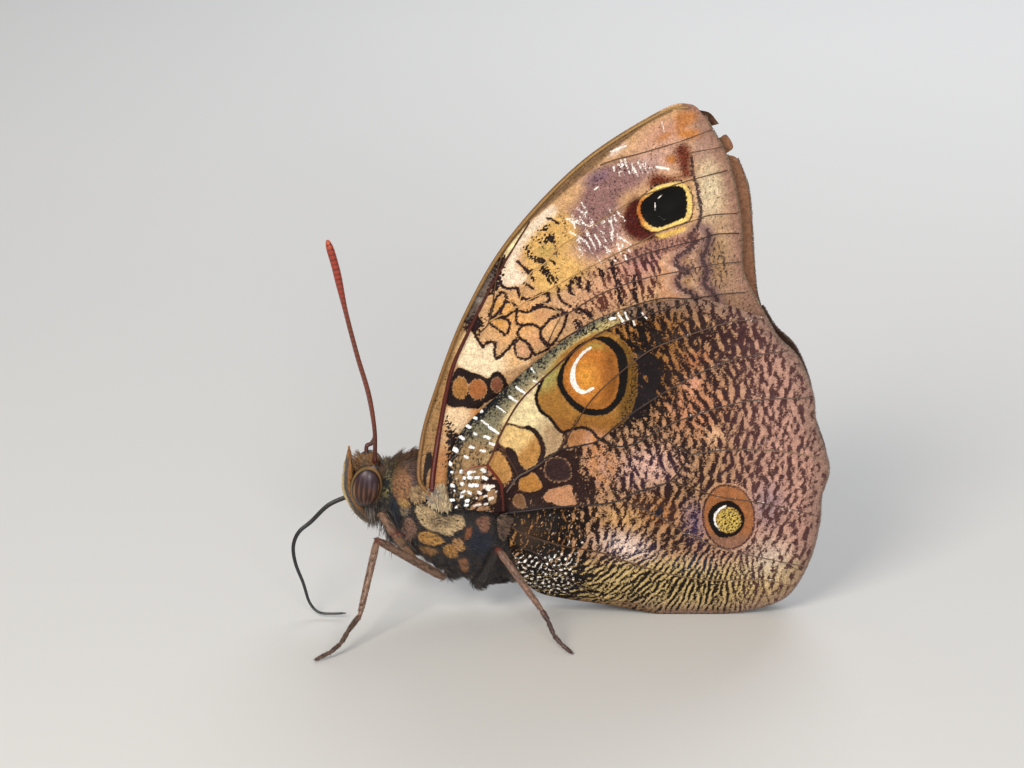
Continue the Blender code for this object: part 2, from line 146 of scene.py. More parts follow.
# Matte uncoated paper: no gloss, and a faint cloudiness of its fibres.
spot = add(tree, "TexCoord").outputs["Object"]
fibre = add(tree, "TexNoise", {"Vector": spot, "Scale": sized(PAPER_FIBRE), "Detail": 3.0})
cloud = add(tree, "TexNoise", {"Vector": spot, "Scale": 8.0, "Detail": 2.0})
tone = add(tree, "Mix", {"Factor": cloud.outputs["Fac"], "A": srgb("#d9d8d4"), "B": srgb("#e0dfdb")},
           data_type="RGBA")
tree.links.new(tone.outputs["Result"], shader.inputs["Base Color"])
bump = add(tree, "Bump", {"Height": fibre.outputs["Fac"], "Strength": 0.15, "Distance": 0.00005})
tree.links.new(bump.outputs["Normal"], shader.inputs["Normal"])

turns = np.arange(TABLE_CORNERS) * math.tau / TABLE_CORNERS
rim = np.stack([np.cos(turns), np.sin(turns), 0 * turns], axis=1) * TABLE_REACH
fan = [(i, (i + 1) % TABLE_CORNERS, TABLE_CORNERS) for i in range(TABLE_CORNERS)]
table = piece_from("table", np.vstack([rim, [[0, 0, 0]]]) - (0, 0, TABLE_DROP), fan, paper, smooth=False)
table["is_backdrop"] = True

world = bpy.data.worlds.new("studio")
bpy.context.scene.world = world
world.use_nodes = True
room = world.node_tree.nodes["Background"]
room.inputs["Color"].default_value = srgb(ROOM_COLOUR)
room.inputs["Strength"].default_value = ROOM_LIGHT
for name, place, size, watts, colour in SOFT_BOXES:
    light = bpy.data.lights.new(name, "AREA")
    light.size = size * MM
    light.energy = watts
    light.color = srgb(colour)[:3]
    box = bpy.data.objects.new(name, light)
    box.location = Vector(place) * MM
    box.rotation_euler = (Vector(BOX_AIM) - Vector(place)).to_track_quat("-Z", "Y").to_euler()
    bpy.context.scene.collection.objects.link(box)

# Head, thorax and abdomen: three jointed lengths of hard cuticle under a pile of hair-like
# scales. They are one skin here, drawn in from the solids by the depth of the pile.
PILE = 0.32
HIP_PILE = 0.2
TRUNK_POINTS = 56
BODY_SECTIONS = (
    # x, top, bottom, half width
    (-15.7, 14.3, 9.9, 1.6), (-15.0, 15.2, 8.3, 2.4), (-13.6, 15.8, 6.4, 3.1), (-12.0, 15.8, 4.7, 3.5),
    (-10.0, 15.4, 3.5, 3.5), (-8.0, 14.2, 2.8, 3.3), (-6.2, 12.7, 2.3, 3.0), (-4.8, 11.1, 2.5, 2.5),
    (-3.0, 10.2, 2.2, 2.7), (0.0, 8.8, 1.9, 2.7), (3.0, 7.0, 1.6, 2.4), (6.0, 5.1, 1.3, 1.8),
    (8.0, 3.7, 1.3, 1.1), (9.2, 2.8, 1.8, 0.5),
)
HEAD_OVALS = (
    # centre, radii
    ((-17.5, 0.0, 12.6), (1.45, 2.0, 2.9)), ((-15.9, 0.0, 12.4), (1.3, 1.7, 2.4)),
    ((-17.6, 0.0, 14.4), (1.3, 1.4, 1.05)),
)
HIP_OVALS = (((-9.8, 1.2, 4.1), (0.9, 0.7, 0.9)), ((-7.3, 1.3, 3.4), (1.0, 0.8, 1.0)))
EYE_PLACE = (-17.66, 1.92, 13.05)
EYE_RADII = (1.5, 1.12, 2.06)
ABDOMEN_RINGS = (-3.6, -1.5, 0.7, 2.9, 5.0, 6.9, 8.4)
RING_WIDTH, RING_DEPTH, SKIN_UNEVEN = 0.16, 0.16, 0.05
HEAD_END, WAIST = -16.3, -4.8
SKIN_CELL = 0.13

# Marks on the thorax's side, as x, z outlines: warm patches that blue-black lines part.
SIDE_PATCHES = (
    # hex colour, how much wider it is grown in mm, outline
    ("#7c5e58", 0.2, ((-14.5, 14.9), (-13.2, 15.1), (-13.0, 13.4), (-13.6, 12.2), (-14.0, 13.3),
      (-14.6, 14.3))),
    ("#ad7c52", 0.1, ((-15.1, 14.3), (-14.4, 14.6), (-13.7, 14.0), (-13.6, 12.7), (-14.1, 11.9),
      (-15.0, 12.0), (-15.3, 13.0))),
    ("#c79c5c", 0.08, ((-14.8, 11.7), (-14.3, 11.9), (-13.7, 11.6), (-14.0, 11.2), (-14.6, 11.3))),
    ("#8d7a63", 0.08, ((-14.5, 11.0), (-14.0, 11.2), (-13.7, 10.8), (-14.2, 10.3), (-14.5, 10.5))),
    ("#98725e", 0.12, ((-14.2, 9.8), (-13.6, 10.0), (-13.2, 9.3), (-13.3, 8.3), (-13.6, 7.9),
      (-14.1, 8.7))),
    ("#dcbd8e", 0.06, ((-13.1, 11.3), (-12.3, 11.6), (-11.4, 11.0), (-10.5, 10.4), (-9.4, 10.6),
      (-8.8, 10.3), (-8.7, 9.5), (-9.5, 9.0), (-10.0, 8.6), (-11.1, 9.0), (-12.2, 9.4), (-12.8, 10.1))),
    ("#c9954e", 0.06, ((-12.8, 8.6), (-12.0, 8.9), (-11.1, 8.5), (-10.6, 8.0), (-11.2, 7.6), (-12.2, 7.5),
      (-12.8, 7.9))),
    ("#9c703e", 0.06, ((-12.9, 7.1), (-11.6, 7.1), (-11.2, 6.7), (-11.7, 6.3), (-12.5, 6.5))),
    ("#be8a48", 0.06, ((-10.6, 7.3), (-9.9, 7.6), (-9.3, 6.7), (-9.5, 6.2), (-10.3, 6.3), (-10.6, 6.9))),
    ("#c9965c", 0.04, ((-9.7, 8.1), (-9.2, 8.3), (-8.7, 7.6), (-8.9, 6.9), (-9.5, 7.2))),
    ("#a87048", 0.06, ((-9.1, 5.9), (-8.5, 6.0), (-8.4, 4.9), (-8.8, 4.4), (-9.0, 5.1))),
    ("#b46a34", 0.02, ((-8.4, 9.3), (-8.0, 9.4), (-8.1, 8.5), (-8.5, 8.1))),
    ("#a06c50", 0.08, ((-7.5, 10.0), (-6.5, 10.1), (-6.4, 9.2), (-6.8, 8.8), (-7.3, 9.4))),
)


def ease(t):
    t = np.clip(t, 0, 1)
    return t * t * (3 - 2 * t)


def smooth_line(points, step):
    """Points about one step apart on a smooth curve through the given ones."""
    points = np.array(points, float)
    padded = np.vstack([2 * points[0] - points[1], points, 2 * points[-1] - points[-2]])
    line = []
    for i in range(len(points) - 1):
        a, b, c, d = padded[i:i + 4]
        count = max(1, round(np.linalg.norm((c - b)[:3]) / step))
        for t in np.arange(count) / count:
            line.append(b + 0.5 * t * (c - a + t * (2 * a - 5 * b + 4 * c - d + t * (3 * (b - c) + d - a))))
    return np.array([*line, points[-1]])


def to_line(x, z, line):
    """Distance in mm from every x, z to a line of points."""
    nearest = np.full(x.shape, 1e9)
    for (ax, az), (bx, bz) in zip(line[:-1], line[1:]):
        length = max((bx - ax) ** 2 + (bz - az) ** 2, 1e-12)
        share = np.clip(((x - ax) * (bx - ax) + (z - az) * (bz - az)) / length, 0, 1)
        nearest = np.minimum(nearest, np.hypot(x - ax - share * (bx - ax), z - az - share * (bz - az)))
    return nearest


def to_edge(x, z, outline):
    """Distance in mm from every x, z to a closed outline, below zero inside it."""
    within = np.zeros(x.shape, bool)
    closed = np.vstack([outline, outline[:1]])
    for (ax, az), (bx, bz) in zip(closed[:-1], closed[1:]):
        rise = bz - az if bz != az else 1e-9
        within ^= ((az > z) != (bz > z)) & (x < ax + (z - az) * (bx - ax) / rise)
    return np.where(within, -1, 1) * to_line(x, z, closed)


def rounded(outline, step=0.3):
    """A closed outline through the given corners, without its last point, as a smooth curve."""
    corners = np.array(outline, float)
    looped = smooth_line(np.vstack([corners[-2:], corners, corners[:2]]), step)
    start = np.argmin(np.linalg.norm(looped - corners[0], axis=1))
    stop = len(looped) - 1 - np.argmin(np.linalg.norm(looped[::-1] - corners[0], axis=1))
    return looped[start:stop] if stop > start + 3 else looped[start:]


def cloudy(points, size, seed, count=14):
    """A smooth, seeded unevenness from about -1 to 1, in lumps of about a size in mm."""
    draw = np.random.default_rng(seed)
    waves = draw.normal(size=(count, points.shape[1]))
    pace = math.tau / (1.6 * size) * draw.uniform(0.7, 1.4, count)
    waves *= (pace / np.linalg.norm(waves, axis=1))[:, None]
    return np.sin(points @ waves.T + draw.uniform(0, math.tau, count)).sum(axis=1) / 3.2


def oval_rings(centre, radii, across=40, along=26):
    """Rings of points round an oval whose poles lie along X."""
    polar = np.linspace(0.06, math.pi - 0.06, along)[:, None]
    turn = np.arange(across) * math.tau / across
    unit = np.stack(np.broadcast_arrays(-np.cos(polar), np.sin(polar) * np.cos(turn),
                                        np.sin(polar) * np.sin(turn)), axis=2)
    return np.array(centre) + unit * np.array(radii)


def closed_over(rings):
    """Points and triangles of a closed form over rings of points."""
    count, around = rings.shape[:2]
    points = np.vstack([rings.reshape(-1, 3), rings[0].mean(axis=0), rings[-1].mean(axis=0)])
    row = np.arange(count - 1)[:, None] * around
    j = np.arange(around)
    k = (j + 1) % around
    a, b = row + j, row + k
    c, d = a + around, b + around
    last = (count - 1) * around
    ends = (np.full(around, count * around), np.full(around, count * around + 1))
    triangles = [np.stack(t, axis=-1).reshape(-1, 3) for t in (
        (a, b, d), (a, d, c), (ends[0], k, j), (ends[1], last + j, last + k),
    )]
    return points, np.vstack(triangles)


def together(parts):
    """Several (points, triangles, ...) joined into one; further arrays are stacked alike."""
    first, points, triangles = 0, [], []
    for part in parts:
        points.append(part[0])
        triangles.append(part[1] + first)
        first += len(part[0])
    rest = [np.vstack([part[i] for part in parts]) for i in range(2, len(parts[0]))]
    return (np.vstack(points), np.vstack(triangles), *rest)


def colours(code, count):
    return np.tile(np.array(srgb(code)[:3]), (count, 1))


def wash(layer, code, share):
    """Mixes a hex colour into an array of colours by a share from 0 to 1 at each point."""
    layer += (np.array(srgb(code)[:3]) - layer) * np.clip(share, 0, 1)[..., None]


def washes(layer, steps):
    """Mixes in several hex colours, one after another, each by its own share."""
    for code, share in steps:
        wash(layer, code, share)


def body_at(x, sections):
    """Top, bottom and half width of the body at x."""
    rows = np.array(sections)
    return [np.interp(x, rows[:, 0], rows[:, column]) for column in (1, 2, 3)]


def body_colours(points):
    """The colour of skin and pile alike at points in mm."""
    x, y, z = points.T
    found = colours("#17151a", len(points))
    top, low, _ = body_at(x, BODY_SECTIONS)
    level = (z - low) / (top - low)
    patchy, speckled = cloudy(points, 0.5, 3), cloudy(points, 0.2, 4)
    washes(found, (
        ("#3a2a20", 0.25 + 0.4 * patchy + 0.3 * speckled),
        ("#6f5038", ease((level - 0.76) / 0.12) * (0.85 + 0.2 * patchy)),
        ("#54463c", ease((0.2 - level) / 0.15) * (0.3 + 0.4 * patchy + 0.3 * speckled)),
        ("#66503c", ease((x - WAIST) / 1.5) * (0.75 + 0.25 * patchy)),
        ("#141c2e", ease(1.3 - np.hypot((x + 7.2) / 1.3, (z - 7.8) / 1.8)) * (np.abs(y) > 1)),
    ))
    for code, grow, outline in SIDE_PATCHES:
        apart = to_edge(x, z, rounded(outline)) - grow + 0.06 * speckled
        inside = ease(0.5 - apart / 0.2) * ease((np.abs(y) - 0.9) / 0.6)
        wash(found, code, inside * (0.86 + 0.4 * speckled))
    middle = ease(1.3 - np.hypot((x + 10.9) / 1.4, (z - 10.1) / 0.8)) * (np.abs(y) > 1)
    collar = ease(1 - np.abs(x + 15.75 - 0.09 * (z - 12.5)) / 0.75) * (x < -14.6) * ease((14.9 - z) / 0.7)
    head, throat = ease((HEAD_END - x) / 0.4), ease((-15.4 - x) / 0.4) * ease((11.6 - z) / 0.9)
    washes(found, (
        ("#4a3526", middle * ease(0.5 + speckled)), ("#23221f", collar),
        ("#9c8e5e", collar * ease(cloudy(points, 0.2, 8) * 1.8)),
        ("#16202e", ease(1.2 - np.hypot((x + 15.2) / 0.7, (z - 10.9) / 1.5))), ("#a07444", head),
        ("#6a5646", head * ease(patchy + 0.5)), ("#3e2c20", 0.7 * head * ease(speckled)),
        ("#4a3d34", throat), ("#8a8078", throat * ease(speckled)),
        ("#c08c50", head * ease((z - 14.4) / 0.8) * (0.3 + 0.5 * patchy)),
    ))
    return found


inset = np.array(BODY_SECTIONS) - (0.0, PILE, -PILE, PILE)
inset[-2:, 3] = (0.85, 0.35)
around = np.arange(TRUNK_POINTS) * math.tau / TRUNK_POINTS
trunk = np.array([
    np.stack([np.full(TRUNK_POINTS, x), half * np.cos(around),
              (top + low) / 2 + (top - low) / 2 * np.sin(around)], axis=1)
    for x, top, low, half in smooth_line(inset, 0.35)
])
forms = [closed_over(trunk)]
forms += [closed_over(oval_rings(c, np.array(r) - PILE)) for c, r in HEAD_OVALS]
forms += [closed_over(oval_rings((c[0], side * c[1], c[2]), np.array(r) - HIP_PILE))
          for c, r in HIP_OVALS for side in (-1, 1)]


def tinted(tree, shader, grain, levels, relief=None, invert=True):
    """The colours held at the points, lightened and darkened by a grain between levels. The grain
    stands up too, or sinks in, by a relief of strength and depth in metres."""
    tint = add(tree, "Attribute", attribute_name="tint").outputs["Color"]
    shade = add(tree, "MapRange", {"Value": grain, **levels}).outputs["Result"]
    dulled = add(tree, "VectorMath", {0: tint, "Scale": shade}, operation="SCALE")
    tree.links.new(dulled.outputs["Vector"], shader.inputs["Base Color"])
    if relief:
        bump = add(tree, "Bump", {"Height": grain, "Strength": relief[0], "Distance": relief[1]},
                   invert=invert)
        tree.links.new(bump.outputs["Normal"], shader.inputs["Normal"])


cuticle, tree, shader = finish_named("scaled_cuticle", 0.62, Specular_IOR_Level=0.3, Sheen_Weight=0.25,
                                     Sheen_Roughness=0.5)
# Hard cuticle under short flat scales: dull and velvety, with a grain of single scales.
spot = add(tree, "TexCoord").outputs["Object"]
scale = add(tree, "TexVoronoi", {"Vector": spot, "Scale": sized(0.11)}).outputs["Distance"]
tinted(tree, shader, scale, {"From Max": 0.9, "To Min": 1.15, "To Max": 0.6}, (0.6, 0.00004))

skin = piece_from("body_skin", *together(forms), cuticle)
cells = skin.modifiers.new("one_skin", "REMESH")
cells.mode = "VOXEL"
cells.voxel_size = SKIN_CELL * MM
cells.use_smooth_shade = True
soft = skin.modifiers.new("soft", "SMOOTH")
soft.factor = 0.5
soft.iterations = 10
merged = bpy.data.meshes.new_from_object(skin.evaluated_get(bpy.context.evaluated_depsgraph_get()))
skin.modifiers.clear()
skin.data = merged
merged.name = "body_skin"


def points_of(mesh):
    co = np.zeros(len(mesh.vertices) * 3, np.float32)
    mesh.vertices.foreach_get("co", co)
    return co.reshape(-1, 3).astype(float) / MM


def normals_of(mesh):
    found = np.zeros(len(mesh.vertices) * 3, np.float32)
    mesh.vertex_normals.foreach_get("vector", found)
    return found.reshape(-1, 3).astype(float)


on_skin, skin_out = points_of(merged), normals_of(merged)
rings = sum(np.exp(-((on_skin[:, 0] - at) / RING_WIDTH) ** 2) for at in ABDOMEN_RINGS)
on_skin += skin_out * (SKIN_UNEVEN * cloudy(on_skin, 0.7, 1) - RING_DEPTH * rings)[:, None]
merged.vertices.foreach_set("co", (on_skin * MM).astype(np.float32).ravel())
merged.update()
rgba = np.hstack([body_colours(on_skin), np.ones((len(on_skin), 1))]).astype(np.float32)
merged.attributes.new("tint", "FLOAT_COLOR", "POINT").data.foreach_set("color", rgba.ravel())
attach(skin, "root")
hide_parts("head", "thorax", "abdomen")

# The pile: hair-like scales that lie back along the body, long and brown over the back,
# cropped and velvety on the marked sides, upright on the crown and hanging loose from the
# chin and breast. Each tuft is a three-sided blade of three rows of points and a tip.
PILE_PER_MM2 = 72
TUFT_STEPS = ((0.0, 1.0, 0.0), (0.4, 0.85, 0.35), (0.75, 0.55, 0.4))
TUFT_POINTS = 10
TUFT_THICK = 0.3
PATCH_ON_MAP = 0.003

pile_scales, tree, shader = finish_named("hair_like_scales", 0.5, Specular_IOR_Level=0.35,
                                         Sheen_Weight=0.2, Sheen_Roughness=0.4)
# Hair-like scales of dry chitin: soft gloss along their length, each a little unlike the next.
spot = add(tree, "TexCoord").outputs["Object"]
streak = add(tree, "TexNoise", {"Vector": spot, "Scale": sized(0.09), "Detail": 1.0}).outputs["Fac"]
tinted(tree, shader, streak, {"From Min": 0.3, "From Max": 0.7, "To Min": 0.78, "To Max": 1.2})


def unit(v):
    return v / np.maximum(np.linalg.norm(v, axis=-1, keepdims=True), 1e-9)


def coat(name, roots, out, lie, length, width, tints, on_map, rise=0.3):
    """Tapered tufts in one mesh. Each starts at its root, and lies along lie a little off the skin."""
    count = len(roots)
    length, width = (np.broadcast_to(v, count)[:, None] for v in (length, width))
    out = unit(out)
    lie = unit(lie - out * (lie * out).sum(axis=1, keepdims=True) + out * 1e-6)
    side = np.cross(out, lie)
    rows = []
    for along, wide, high in TUFT_STEPS:
        middle = roots + lie * length * along + out * length * rise * (high + along * 0.35)
        if along == 0.0:
            middle = middle - out * 0.08
        rows += [middle - side * width * wide / 2, middle + side * width * wide / 2,
                 middle + out * width * wide * TUFT_THICK]
    rows.append(roots + lie * length + out * length * rise * 0.62)
    points = np.stack(rows, axis=1)
    sides = [(0, 2, 5, 3), (2, 1, 4, 5), (1, 0, 3, 4)]
    one = []
    for low in (0, 3):
        for a, b, c, d in sides:
            one += [(a + low, b + low, c + low), (a + low, c + low, d + low)]
    one += [(6, 8, 9), (8, 7, 9), (7, 6, 9)]
    triangles = np.array(one)[None] + TUFT_POINTS * np.arange(count)[:, None, None]
    piece = piece_from(name, points.reshape(-1, 3), triangles.reshape(-1, 3), pile_scales,
                       {"tint": np.repeat(tints, TUFT_POINTS, axis=0)})
    across = np.array([0, 1, 0.5, 0, 1, 0.5, 0.1, 0.9, 0.5, 0.5])
    upward = np.array([0, 0, 0, 0.4, 0.4, 0.4, 0.75, 0.75, 0.75, 1])
    patch = np.stack([across, upward], axis=1) * PATCH_ON_MAP
    corners = (on_map[:, None, :] * 0.99 + patch[None]).reshape(-1, 2)
    layer = piece.data.uv_layers.new(name="OFBake")
    layer.data.foreach_set("uv", corners[triangles.reshape(-1)].astype(np.float32).ravel())
    return piece


def rooted_on(mesh, per_mm2, seed):
    """Seeded roots over a mesh: places in mm and the directions out of the surface."""
    draw = np.random.default_rng(seed)
    co, out = points_of(mesh), normals_of(mesh)
    mesh.calc_loop_triangles()
    tri = np.zeros(len(mesh.loop_triangles) * 3, np.int32)
    mesh.loop_triangles.foreach_get("vertices", tri)
    tri = tri.reshape(-1, 3)
    areas = np.linalg.norm(np.cross(co[tri[:, 1]] - co[tri[:, 0]], co[tri[:, 2]] - co[tri[:, 0]]), axis=1) / 2
    chosen = draw.choice(len(tri), size=int(areas.sum() * per_mm2), p=areas / areas.sum())
    mix = draw.dirichlet((1, 1, 1), len(chosen))[..., None]
    return (co[tri[chosen]] * mix).sum(axis=1), unit((out[tri[chosen]] * mix).sum(axis=1)), draw


roots, out, draw = rooted_on(merged, PILE_PER_MM2, 11)
x, y, z = roots.T
eye_near = np.hypot(np.hypot((x - EYE_PLACE[0]) / EYE_RADII[0], (np.abs(y) - EYE_PLACE[1]) / EYE_RADII[1]),
                    (z - EYE_PLACE[2]) / EYE_RADII[2])
keep = (eye_near > 1.03) & ((x < WAIST) | (draw.uniform(size=len(x)) < 0.4))
roots, out, eye_near = roots[keep], out[keep], eye_near[keep]
x, y, z = roots.T
count = len(roots)
top, low, _ = body_at(x, BODY_SECTIONS)
level = (z - low) / (top - low)
head, abdomen = x < HEAD_END, x > WAIST
crown, chin = ease((z - 14.0) / 0.8), ease((11.2 - z) / 0.9)
nape = ease(1 - np.abs(x + 15.6) / 1.1) * ease((z - 12.6) / 1.5)
breast = ease((-13.6 - x) / 1.0) * ease((0.45 - level) / 0.3)
forelock = ease((-17.8 - x) / 0.4) * ease((z - 13.7) / 0.5) * (np.abs(y) < 1.4)
beard = ease((11.1 - z) / 0.5) * ease((-14.9 - x) / 0.5)
bib = ease((-13.0 - x) / 0.5) * ease((0.27 - level) / 0.1) * (beard < 0.5)
lie = np.stack([np.full(count, 1.0), 0.0 * y, -0.25 - 0.3 * (level < 0.7)], axis=1)
lie[head] = np.stack([-0.7 + 0.5 * crown[head] + 2.0 * chin[head], 0.0 * x[head],
                      0.5 + 0.5 * crown[head] - 1.9 * chin[head]], axis=1)
lie[:, 0] -= 1.1 * nape + 1.5 * breast
lie[:, 2] += 1.3 * nape - 0.9 * breast
free = (forelock > 0.5) | (beard > 0.5) | (bib > 0.5)
out[free] = np.stack([0.0 * x[free], np.where(y[free] < 0, -1.0, 1.0), 0.0 * x[free]], axis=1)
lie[forelock > 0.5] = (-0.9, 0.0, 0.75)
lie[beard > 0.5] = (0.22, 0.0, -1.0)
lie[bib > 0.5] = (-0.7, 0.0, -0.75)
lie += draw.normal(scale=0.22, size=(count, 3))
length = 0.2 + 0.7 * ease((level - 0.76) / 0.14) + 0.55 * ease((0.22 - level) / 0.2)
length = np.where(abdomen, 0.45, length)
length = np.where(head, 0.42 + 0.15 * crown + 0.4 * chin, length) + 0.35 * nape + 0.8 * breast
length *= np.where((eye_near < 1.3) & (z < 14.3), 0.5, 1.0) * draw.uniform(0.7, 1.25, count)
length = np.where(forelock > 0.5, draw.uniform(0.5, 1.05, count), length)
long_beard = draw.uniform(0.9, 2.2, count) * (0.35 + 0.65 * ease((x + 18.5) / 0.7))
length = np.where(beard > 0.5, long_beard + 1.7 * ease((x + 16.9) / 0.9), length)
length = np.where(bib > 0.5, draw.uniform(0.6, 1.7, count), length)
tints = body_colours(roots) * draw.uniform(0.7, 1.3, (count, 1))
odd = draw.uniform(size=count) < 0.1
tints[odd] = tints[odd] * 0.35
turn = np.arctan2(z - (top + low) / 2, y) / math.tau + 0.5
on_map = np.stack([np.clip((x + 20) / 31, 0, 1), turn], axis=1)
short = ~head & ~abdomen & (length < 0.34)
for name, part, width, rise in (
    ("head_pile", head, 0.075, 0.45), ("thorax_scales", short, 0.12, 0.2),
    ("thorax_pile", ~head & ~abdomen & ~short, 0.075, 0.3), ("abdomen_pile", abdomen, 0.1, 0.16),
):
    piece = coat(name, roots[part], out[part], lie[part], length[part], width, tints[part],
                 on_map[part], rise)
    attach(piece, "root")

# Eyes: two tall domes of thousands of tiny lenses under one clear hard skin, brown
# with dark upright bars that draw together at the ends, each held in a pale rim of scales.
# A painted mauve sheen lies over the top, where the bars fade.
EYE_BARS = 20.0
EYE_LEAN = 0.1
LENS_SIZE = 0.05

facets, tree, shader = finish_named("lens_cuticle", 0.36, IOR=1.4, Coat_Weight=0.15, Coat_Roughness=0.2)
# Clear chitin over pigment: a wet gloss, with the fine net of the lenses just breaking it.
spot = add(tree, "TexCoord").outputs["Object"]
net = add(tree, "TexVoronoi", {"Vector": spot, "Scale": sized(LENS_SIZE), "Randomness": 0.35})
tinted(tree, shader, net.outputs["Distance"], {"To Min": 1.1, "To Max": 0.75}, (0.25, 0.00002))

for side, label in ((-1, "left"), (1, "right")):
    centre = (EYE_PLACE[0], side * EYE_PLACE[1], EYE_PLACE[2])
    points, triangles = closed_over(oval_rings(centre, np.array(EYE_RADII) - 0.03, across=120, along=90))
    u = (points[:, 0] - centre[0]) / EYE_RADII[0]
    w = (points[:, 2] - centre[2]) / EYE_RADII[2]
    narrowed = np.sqrt(np.maximum(1 - np.where(w < 0, w / 0.9, w / 1.15) ** 2, 0.03))
    bar = np.cos(EYE_BARS * (u - 0.04) / narrowed)
    blur = cloudy(points, 0.7, 12)
    tints = colours("#68422f", len(points))
    edge = np.hypot(u / 0.93, (w + 0.02) / 0.95)
    # The mauve wash over the top, and the fading of the dark bars there, are a painted sheen.
    washes(tints, (
        ("#463440", 0.9 * ease((w + 0.35 * u + 0.15) / 0.5)),
        ("#846036", 0.8 * ease((np.abs(u) - 0.45 + 0.1 * blur) / 0.2) * ease((0.4 - w) / 0.5)),
        ("#24110f", (0.9 - 0.5 * ease((w - 0.05) / 0.7)) * ease(0.8 + 0.9 * bar + 0.4 * blur)),
        ("#22140f", ease((edge - 0.84) / 0.05)),
        ("#7e6236", ease((edge - 0.93) / 0.03) * ease(0.9 - 0.5 * (u + 0.4 * w))),
        ("#8e6840", ease((edge - 0.93) / 0.03) * ease((u + 0.1) / 0.2)),
        ("#1c110c", ease((edge - 1.02) / 0.04)), ("#0e0908", ease((-0.72 - w) / 0.12)),
    ))
    points[:, 0] += EYE_LEAN * (points[:, 2] - centre[2])
    eye = piece_from(f"{label}_eye_dome", points, triangles, facets, {"tint": tints})
    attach(eye, "root")
    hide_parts(f"eye_{label}")

# Mouth feelers: a pair of upturned brushes pressed to the face, of flat segments thick with
# scales: pale along the front edge, slate beside it and warm brown towards the eye.
BRUSH_LINE = (
    (-16.9, 9.2), (-17.7, 9.6), (-18.45, 10.3), (-18.98, 11.2), (-19.4, 12.4), (-19.45, 13.7),
    (-19.35, 14.8), (-19.35, 15.75),
)
BRUSH_SIDE = (1.15, 1.1, 1.05, 1.1, 1.15, 1.15, 0.95, 0.75)
BRUSH_RADII = (0.4, 0.5, 0.52, 0.55, 0.58, 0.52, 0.34, 0.14)
BRUSH_PER_MM2 = 150


def tube_rings(path, radii, around=16, squash=1.0):
    """Rings along a path of points, turned with it; squash flattens them along their first axis."""
    path = np.asarray(path, float)
    along = unit(np.gradient(path, axis=0))
    first = np.cross(along[0], (0.0, 1.0, 0.0) if abs(along[0][1]) < 0.9 else (1.0, 0.0, 0.0))
    angles = np.arange(around) * math.tau / around
    rings = []
    for point, direction, radius in zip(path, along, radii):
        first = unit(first - direction * (first @ direction))
        second = np.cross(direction, first)
        rings.append(point + radius * (squash * np.cos(angles)[:, None] * first
                                       + np.sin(angles)[:, None] * second))
    return np.array(rings)


def near_along(roots, path):
    """The number of the path's point that lies nearest to each root."""
    return np.argmin(((roots[:, None] - path[None]) ** 2).sum(axis=2), axis=1)


def brush_colours(points, draw):
    """Pale front edge, then slate, then brown, by how far a point lies behind the brush's front."""
    line = smooth_line(BRUSH_LINE, 0.2)
    order = np.argsort(line[:, 1])
    front = np.interp(points[:, 2], line[order, 1], line[order, 0]) - 0.5
    behind = points[:, 0] - front
    found = colours("#dcc48c", len(points))
    washes(found, (
        ("#625c5a", ease((behind - 0.2) / 0.08)),
        ("#b98246", ease((behind - 0.48) / 0.12) + ease((points[:, 2] - 15.1) / 0.4)),
        ("#4c4038", ease((11.2 - points[:, 2]) / 1.3) * 0.85),
    ))
    return found * draw.uniform(0.75, 1.25, (len(points), 1))


for side, label in ((-1, "left"), (1, "right")):
    knots = [(x, side * y, z, r) for (x, z), y, r in zip(BRUSH_LINE, BRUSH_SIDE, BRUSH_RADII)]
    spine = smooth_line(knots, 0.18)
    path, radii = spine[:, :3], np.maximum(spine[:, 3] - 0.12, 0.06)
    points, triangles = closed_over(tube_rings(path, radii))
    draw = np.random.default_rng(21 + side)
    brush = piece_from(f"{label}_mouth_feeler", points, triangles, cuticle,
                       {"tint": brush_colours(points, draw) * 0.8})
    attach(brush, "root")
    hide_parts(f"palp_{label}")
    roots, out, draw = rooted_on(brush.data, BRUSH_PER_MM2, 31 + side)
    near = near_along(roots, path)
    lie = unit(np.gradient(path, axis=0))[near] + draw.normal(scale=0.15, size=roots.shape)
    length = draw.uniform(0.22, 0.4, len(roots)) + 0.1 * ease((10.4 - roots[:, 2]) / 1.2)
    on_map = np.stack([near / len(path), np.arctan2(out[:, 1], -out[:, 0]) / math.tau + 0.5], axis=1)
    hair = coat(f"{label}_mouth_feeler_scales", roots, out, lie, length, 0.07,
                brush_colours(roots, draw), on_map, rise=0.3)
    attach(hair, "root")

# Drinking tube: two half pipes of black horny cuticle zipped together, ringed across all its
# length, with a groove along the joint. It is unrolled, and its tip hangs just over the floor.
DRINKING_TUBE = (
    (-19.3, 0.0, 11.3), (-21.3, -0.2, 10.4), (-22.9, -0.5, 8.9), (-24.1, -0.8, 7.9), (-24.6, -1.1, 6.6),
    (-24.4, -1.4, 5.0), (-23.7, -1.8, 3.2), (-23.2, -2.2, 1.6), (-22.6, -2.4, 0.75), (-21.9, -2.5, 0.45),
    (-20.8, -2.6, 0.45), (-19.7, -2.6, 0.5),
)
TUBE_RADII = (0.23, 0.11)
TUBE_RING = 0.16
TUBE_POINTS = 24
BROWN_RINGS = 8

horn, tree, shader = finish_named("black_horn", 0.3, IOR=1.55, Coat_Weight=0.3, Coat_Roughness=0.2)
# Black horny cuticle: a narrow silvery gloss, broken by the close rings across the pipe.
tint = add(tree, "Attribute", attribute_name="tint")
tree.links.new(tint.outputs["Color"], shader.inputs["Base Color"])
grit = add(tree, "TexNoise", {"Vector": add(tree, "TexCoord").outputs["Object"], "Scale": sized(0.08)})
bump = add(tree, "Bump", {"Height": grit.outputs["Fac"], "Strength": 0.3, "Distance": 0.00003})
tree.links.new(bump.outputs["Normal"], shader.inputs["Normal"])

